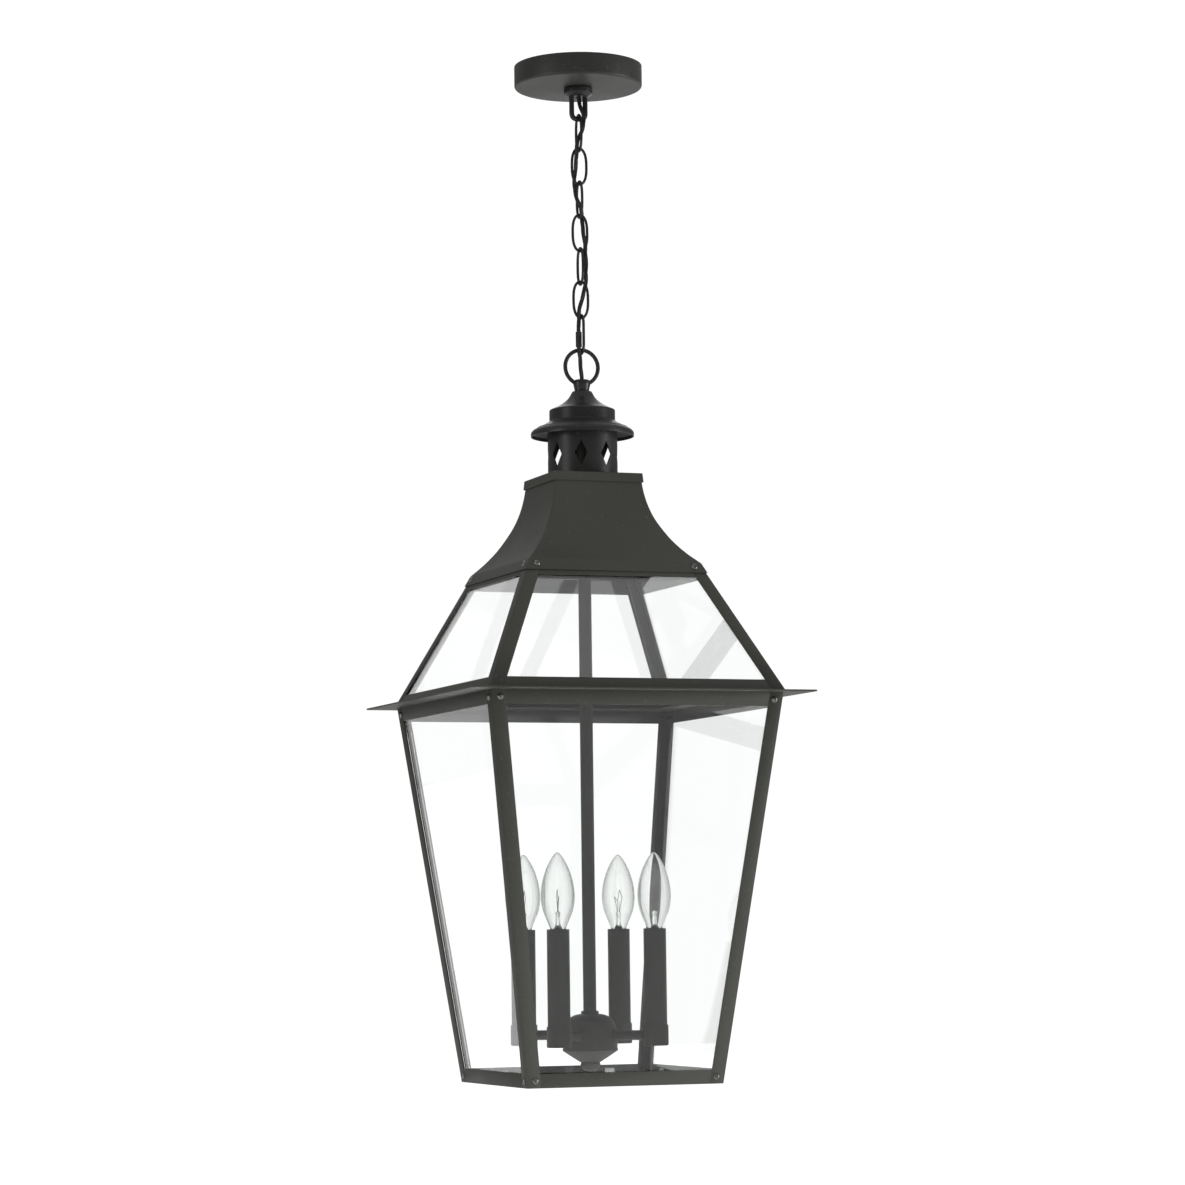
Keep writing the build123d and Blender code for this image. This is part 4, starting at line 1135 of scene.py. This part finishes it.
class LANTERN_OT_bulbs(bpy.types.Operator):
    """Four clear torpedo bulbs with their screw bases, stems and filaments"""

    bl_idname = "lantern.bulbs"
    bl_label = "Bulbs"

    def execute(self, context):
        line = [(6.9, -857.4), (7.6, -854.0), (10.6, -846.0), (14.4, -836.5), (16.2, -824.5),
                (15.2, -811.5), (11.6, -798.5), (6.6, -788.0), (2.4, -782.3), (0.5, -781.05)]
        for n, spot in enumerate(CANDLES, 1):
            body = f"bulb_{n}"
            outer = [(0, -858.0), (6.3, -858.0)] + flowing(line, 5) + [(0, -781.0)]
            inner = [(0, -857.2), (5.9, -857.2)] + flowing(
                [(max(r - 0.7, 0.4), min(z, -782.0)) for r, z in line], 5) + [(0, -781.9)]
            shape = turned(outer, 56, spot)
            bmesh.ops.recalc_face_normals(shape, faces=shape.faces[:])
            cavity = turned(inner, 56, spot)
            bmesh.ops.recalc_face_normals(cavity, faces=cavity.faces[:])
            bmesh.ops.reverse_faces(cavity, faces=cavity.faces[:])
            hollow = bpy.data.meshes.new("cavity")
            cavity.to_mesh(hollow)
            cavity.free()
            shape.from_mesh(hollow)
            bpy.data.meshes.remove(hollow)
            settle(
                f"bulb_{n}_envelope", shape, "bulb glass", f"bulb_glass_{n}", body,
                outward=False, sharp=50,
            )
            base = [(0, -858.9), (5.7, -858.9)]
            for k in range(6):
                z = -860.5 - k * 2.6
                base += [(5.85, z), (5.85, z - 0.5), (5.35, z - 1.3), (5.35, z - 1.7)]
            base += [(5.6, -877.0), (2.8, -881.5), (2.6, -884.4), (0, -884.6)]
            settle(
                f"bulb_{n}_screw_shell", turned(base, 40, spot), "lamp brass",
                f"bulb_base_{n}", body,
            )
            stem = [(0, -857.0)] + rounded([
                (5.4, -857.0), (5.0, -855.8, 0.5), (2.4, -850.0, 2.0), (1.9, -842.0, 0.8),
                (2.6, -838.6, 0.8), (1.2, -837.2, 0.5),
            ]) + [(0, -837.2)]
            settle(f"bulb_{n}_stem", turned(stem, 24, spot), "stem glass", f"bulb_stem_{n}", body)
            shape = bmesh.new()
            zigzag = [(-1.5, -839.0), (-1.6, -834.5), (-4.6, -822.5), (-1.0, -827.5),
                      (1.6, -816.0), (4.8, -823.5), (1.6, -834.5), (1.5, -839.0)]
            sway = radians(-20 + 35 * n)
            path = [
                ((spot[0] + u * cos(sway)) * MM, (spot[1] + u * sin(sway)) * MM, z * MM)
                for u, z in rounded([(u, z, 0.8) for u, z in zigzag], steps=4)
            ]
            tube(shape, path, 0.27 * MM, sides=6)
            for u in (-1.0, 0.9):
                prop = [((spot[0] + u * cos(sway)) * MM, (spot[1] + u * sin(sway)) * MM, z * MM)
                        for z in (-838.6, -830.0, -827.4)]
                tube(shape, prop, 0.2 * MM, sides=6)
            settle(f"bulb_{n}_filament", shape, "filament wire", f"bulb_stem_{n}", body)
        return {"FINISHED"}


# strengths of the sky and the floor where they are seen straight, seen through glass, mirrored
# in paint (the sky climbs from its horizon) and, for the sky, where it only fills the shade
SKY_STRAIGHT, SKY_THROUGH, SKY_FILL, SKY_HORIZON, SKY_CLIMB = 1.03, 0.86, 0.42, 0.10, 0.45
FLOOR_LEVEL, FLOOR_STRAIGHT, FLOOR_THROUGH, FLOOR_GLOSS = -1.9, 0.72, 0.55, 0.15


def seen_straight(tree):
    """1 for what is seen directly, through glass or mirrored in it, and 0 for all else."""
    rays = add_node(tree, "ShaderNodeLightPath")
    bounces = maths(tree, "ADD", rays.outputs["Diffuse Depth"], rays.outputs["Glossy Depth"])
    direct = maths(tree, "LESS_THAN", bounces, 0.5)
    mirrored = maths(
        tree, "MULTIPLY", rays.outputs["Is Singular Ray"], rays.outputs["Is Reflection Ray"]
    )
    return maths(tree, "MAXIMUM", direct, mirrored)


def seen_through(tree, amount):
    """The amount for what clear glass passes on from a gloss or another pane, else 0."""
    rays = add_node(tree, "ShaderNodeLightPath")
    undimmed = maths(tree, "LESS_THAN", rays.outputs["Diffuse Depth"], 0.5)
    sharp = maths(tree, "MULTIPLY", rays.outputs["Is Singular Ray"], undimmed)
    return maths(tree, "MULTIPLY", sharp, amount)


class LANTERN_OT_stage(bpy.types.Operator):
    """Pale floor, soft lights and the camera"""

    bl_idname = "lantern.stage"
    bl_label = "Stage"

    def execute(self, context):
        scene = context.scene
        scene.view_settings.view_transform = "Standard"
        floor = bpy.data.meshes.new("floor")
        corners = [(x, y, FLOOR_LEVEL) for x, y in ((-30, -30), (30, -30), (30, 30), (-30, 30))]
        floor.from_pydata(corners, [], [(0, 1, 2, 3)])
        ground = bpy.data.objects.new("floor", floor)
        scene.collection.objects.link(ground)
        pale, tree, surface = new_material("pale floor")
        for label, value in (
            ("Base Color", (0.8, 0.8, 0.8, 1)), ("Roughness", 0.95),
            ("Specular IOR Level", 0.1), ("Emission Color", (1, 1, 1, 1)),
        ):
            surface.inputs[label].default_value = value
        rays = add_node(tree, "ShaderNodeLightPath")
        shine = maths(tree, "MULTIPLY", seen_straight(tree), FLOOR_STRAIGHT)
        shine = maths(tree, "MAXIMUM", shine, seen_through(tree, FLOOR_THROUGH))
        shine = maths(tree, "MULTIPLY_ADD", rays.outputs["Is Glossy Ray"], FLOOR_GLOSS, shine)
        tree.links.new(shine, surface.inputs["Emission Strength"])
        floor.materials.append(pale)

        world = bpy.data.worlds.new("studio")
        scene.world = world
        world.use_nodes = True
        tree = world.node_tree
        sky = tree.nodes["Background"]
        sky.inputs["Color"].default_value = (1, 1, 1, 1)
        rays = add_node(tree, "ShaderNodeLightPath")
        toward = add_node(tree, "ShaderNodeTexCoord")
        apart = add_node(tree, "ShaderNodeSeparateXYZ")
        tree.links.new(toward.outputs["Generated"], apart.inputs[0])
        up = maths(tree, "MAXIMUM", apart.outputs["Z"], 0.0)
        rise = maths(tree, "MULTIPLY_ADD", up, SKY_CLIMB, SKY_HORIZON)
        extra = maths(tree, "SUBTRACT", rise, SKY_FILL)
        mirrored = maths(tree, "MULTIPLY", rays.outputs["Is Glossy Ray"], extra)
        unseen = maths(tree, "ADD", mirrored, SKY_FILL)
        white = maths(tree, "MULTIPLY", seen_straight(tree), SKY_STRAIGHT)
        white = maths(tree, "MAXIMUM", white, seen_through(tree, SKY_THROUGH))
        power = maths(tree, "MAXIMUM", white, unseen)
        tree.links.new(power, sky.inputs["Strength"])

        for name, spot, aim, size, energy in (
            ("key", (3.6, -1.9, -0.8), (0, 0, -0.72), 1.4, 40),
            ("side", (-3.0, -0.6, -0.4), (0, 0, -0.75), 1.2, 11),
            ("under", (0.6, -1.3, -1.8), (0, 0, 0.0), 0.9, 26),
            ("back", (1.2, 2.8, 0.6), (0, 0, -0.6), 1.4, 9),
        ):
            lamp = bpy.data.lights.new(name, "AREA")
            lamp.shape = "SQUARE"
            lamp.size = size
            lamp.energy = energy
            holder = bpy.data.objects.new(name, lamp)
            holder.location = spot
            toward = Vector(aim) - Vector(spot)
            holder.rotation_euler = toward.to_track_quat("-Z", "Y").to_euler()
            holder.visible_glossy = name != "under"
            holder.visible_transmission = False
            scene.collection.objects.link(holder)

        lens = bpy.data.cameras.new("camera")
        lens.lens = 111.89
        lens.sensor_width = 36
        lens.clip_start, lens.clip_end = 0.1, 200
        camera = bpy.data.objects.new("camera", lens)
        camera.matrix_world = (
            Matrix.Translation((-1.2381, -3.3814, -0.8628))
            @ Matrix.Rotation(radians(-20.237), 4, "Z")
            @ Matrix.Rotation(radians(95.351), 4, "X")
            @ Matrix.Rotation(radians(-0.721), 4, "Z")
        )
        scene.collection.objects.link(camera)
        scene.camera = camera
        return {"FINISHED"}


OPERATORS = (
    LANTERN_OT_stage, LANTERN_OT_lead, LANTERN_OT_canopy, LANTERN_OT_chain, LANTERN_OT_chimney,
    LANTERN_OT_hood, LANTERN_OT_frame, LANTERN_OT_panes, LANTERN_OT_cluster, LANTERN_OT_bulbs,
)


class LANTERN_PT_panel(bpy.types.Panel):
    """Sizes, colours and the pieces to build"""

    bl_idname = "LANTERN_PT_panel"
    bl_label = "Lantern"
    bl_space_type = "VIEW_3D"
    bl_region_type = "UI"
    bl_category = "Lantern"

    def draw(self, context):
        for group in (context.scene.lantern_sizes, context.scene.lantern_finishes):
            box = self.layout.box()
            for name in group.__annotations__:
                box.prop(group, name)
        for operator in OPERATORS:
            self.layout.operator(operator.bl_idname)


CLASSES = (LanternSizes, LanternFinishes, *OPERATORS, LANTERN_PT_panel)


def register():
    for cls in CLASSES:
        bpy.utils.register_class(cls)
    bpy.types.Scene.lantern_sizes = PointerProperty(type=LanternSizes)
    bpy.types.Scene.lantern_finishes = PointerProperty(type=LanternFinishes)


def unregister():
    del bpy.types.Scene.lantern_finishes
    del bpy.types.Scene.lantern_sizes
    for cls in reversed(CLASSES):
        bpy.utils.unregister_class(cls)


def main():
    register()
    for operator in OPERATORS:
        getattr(bpy.ops.lantern, operator.bl_idname.split(".")[1])()


if __name__ == "__main__":
    main()
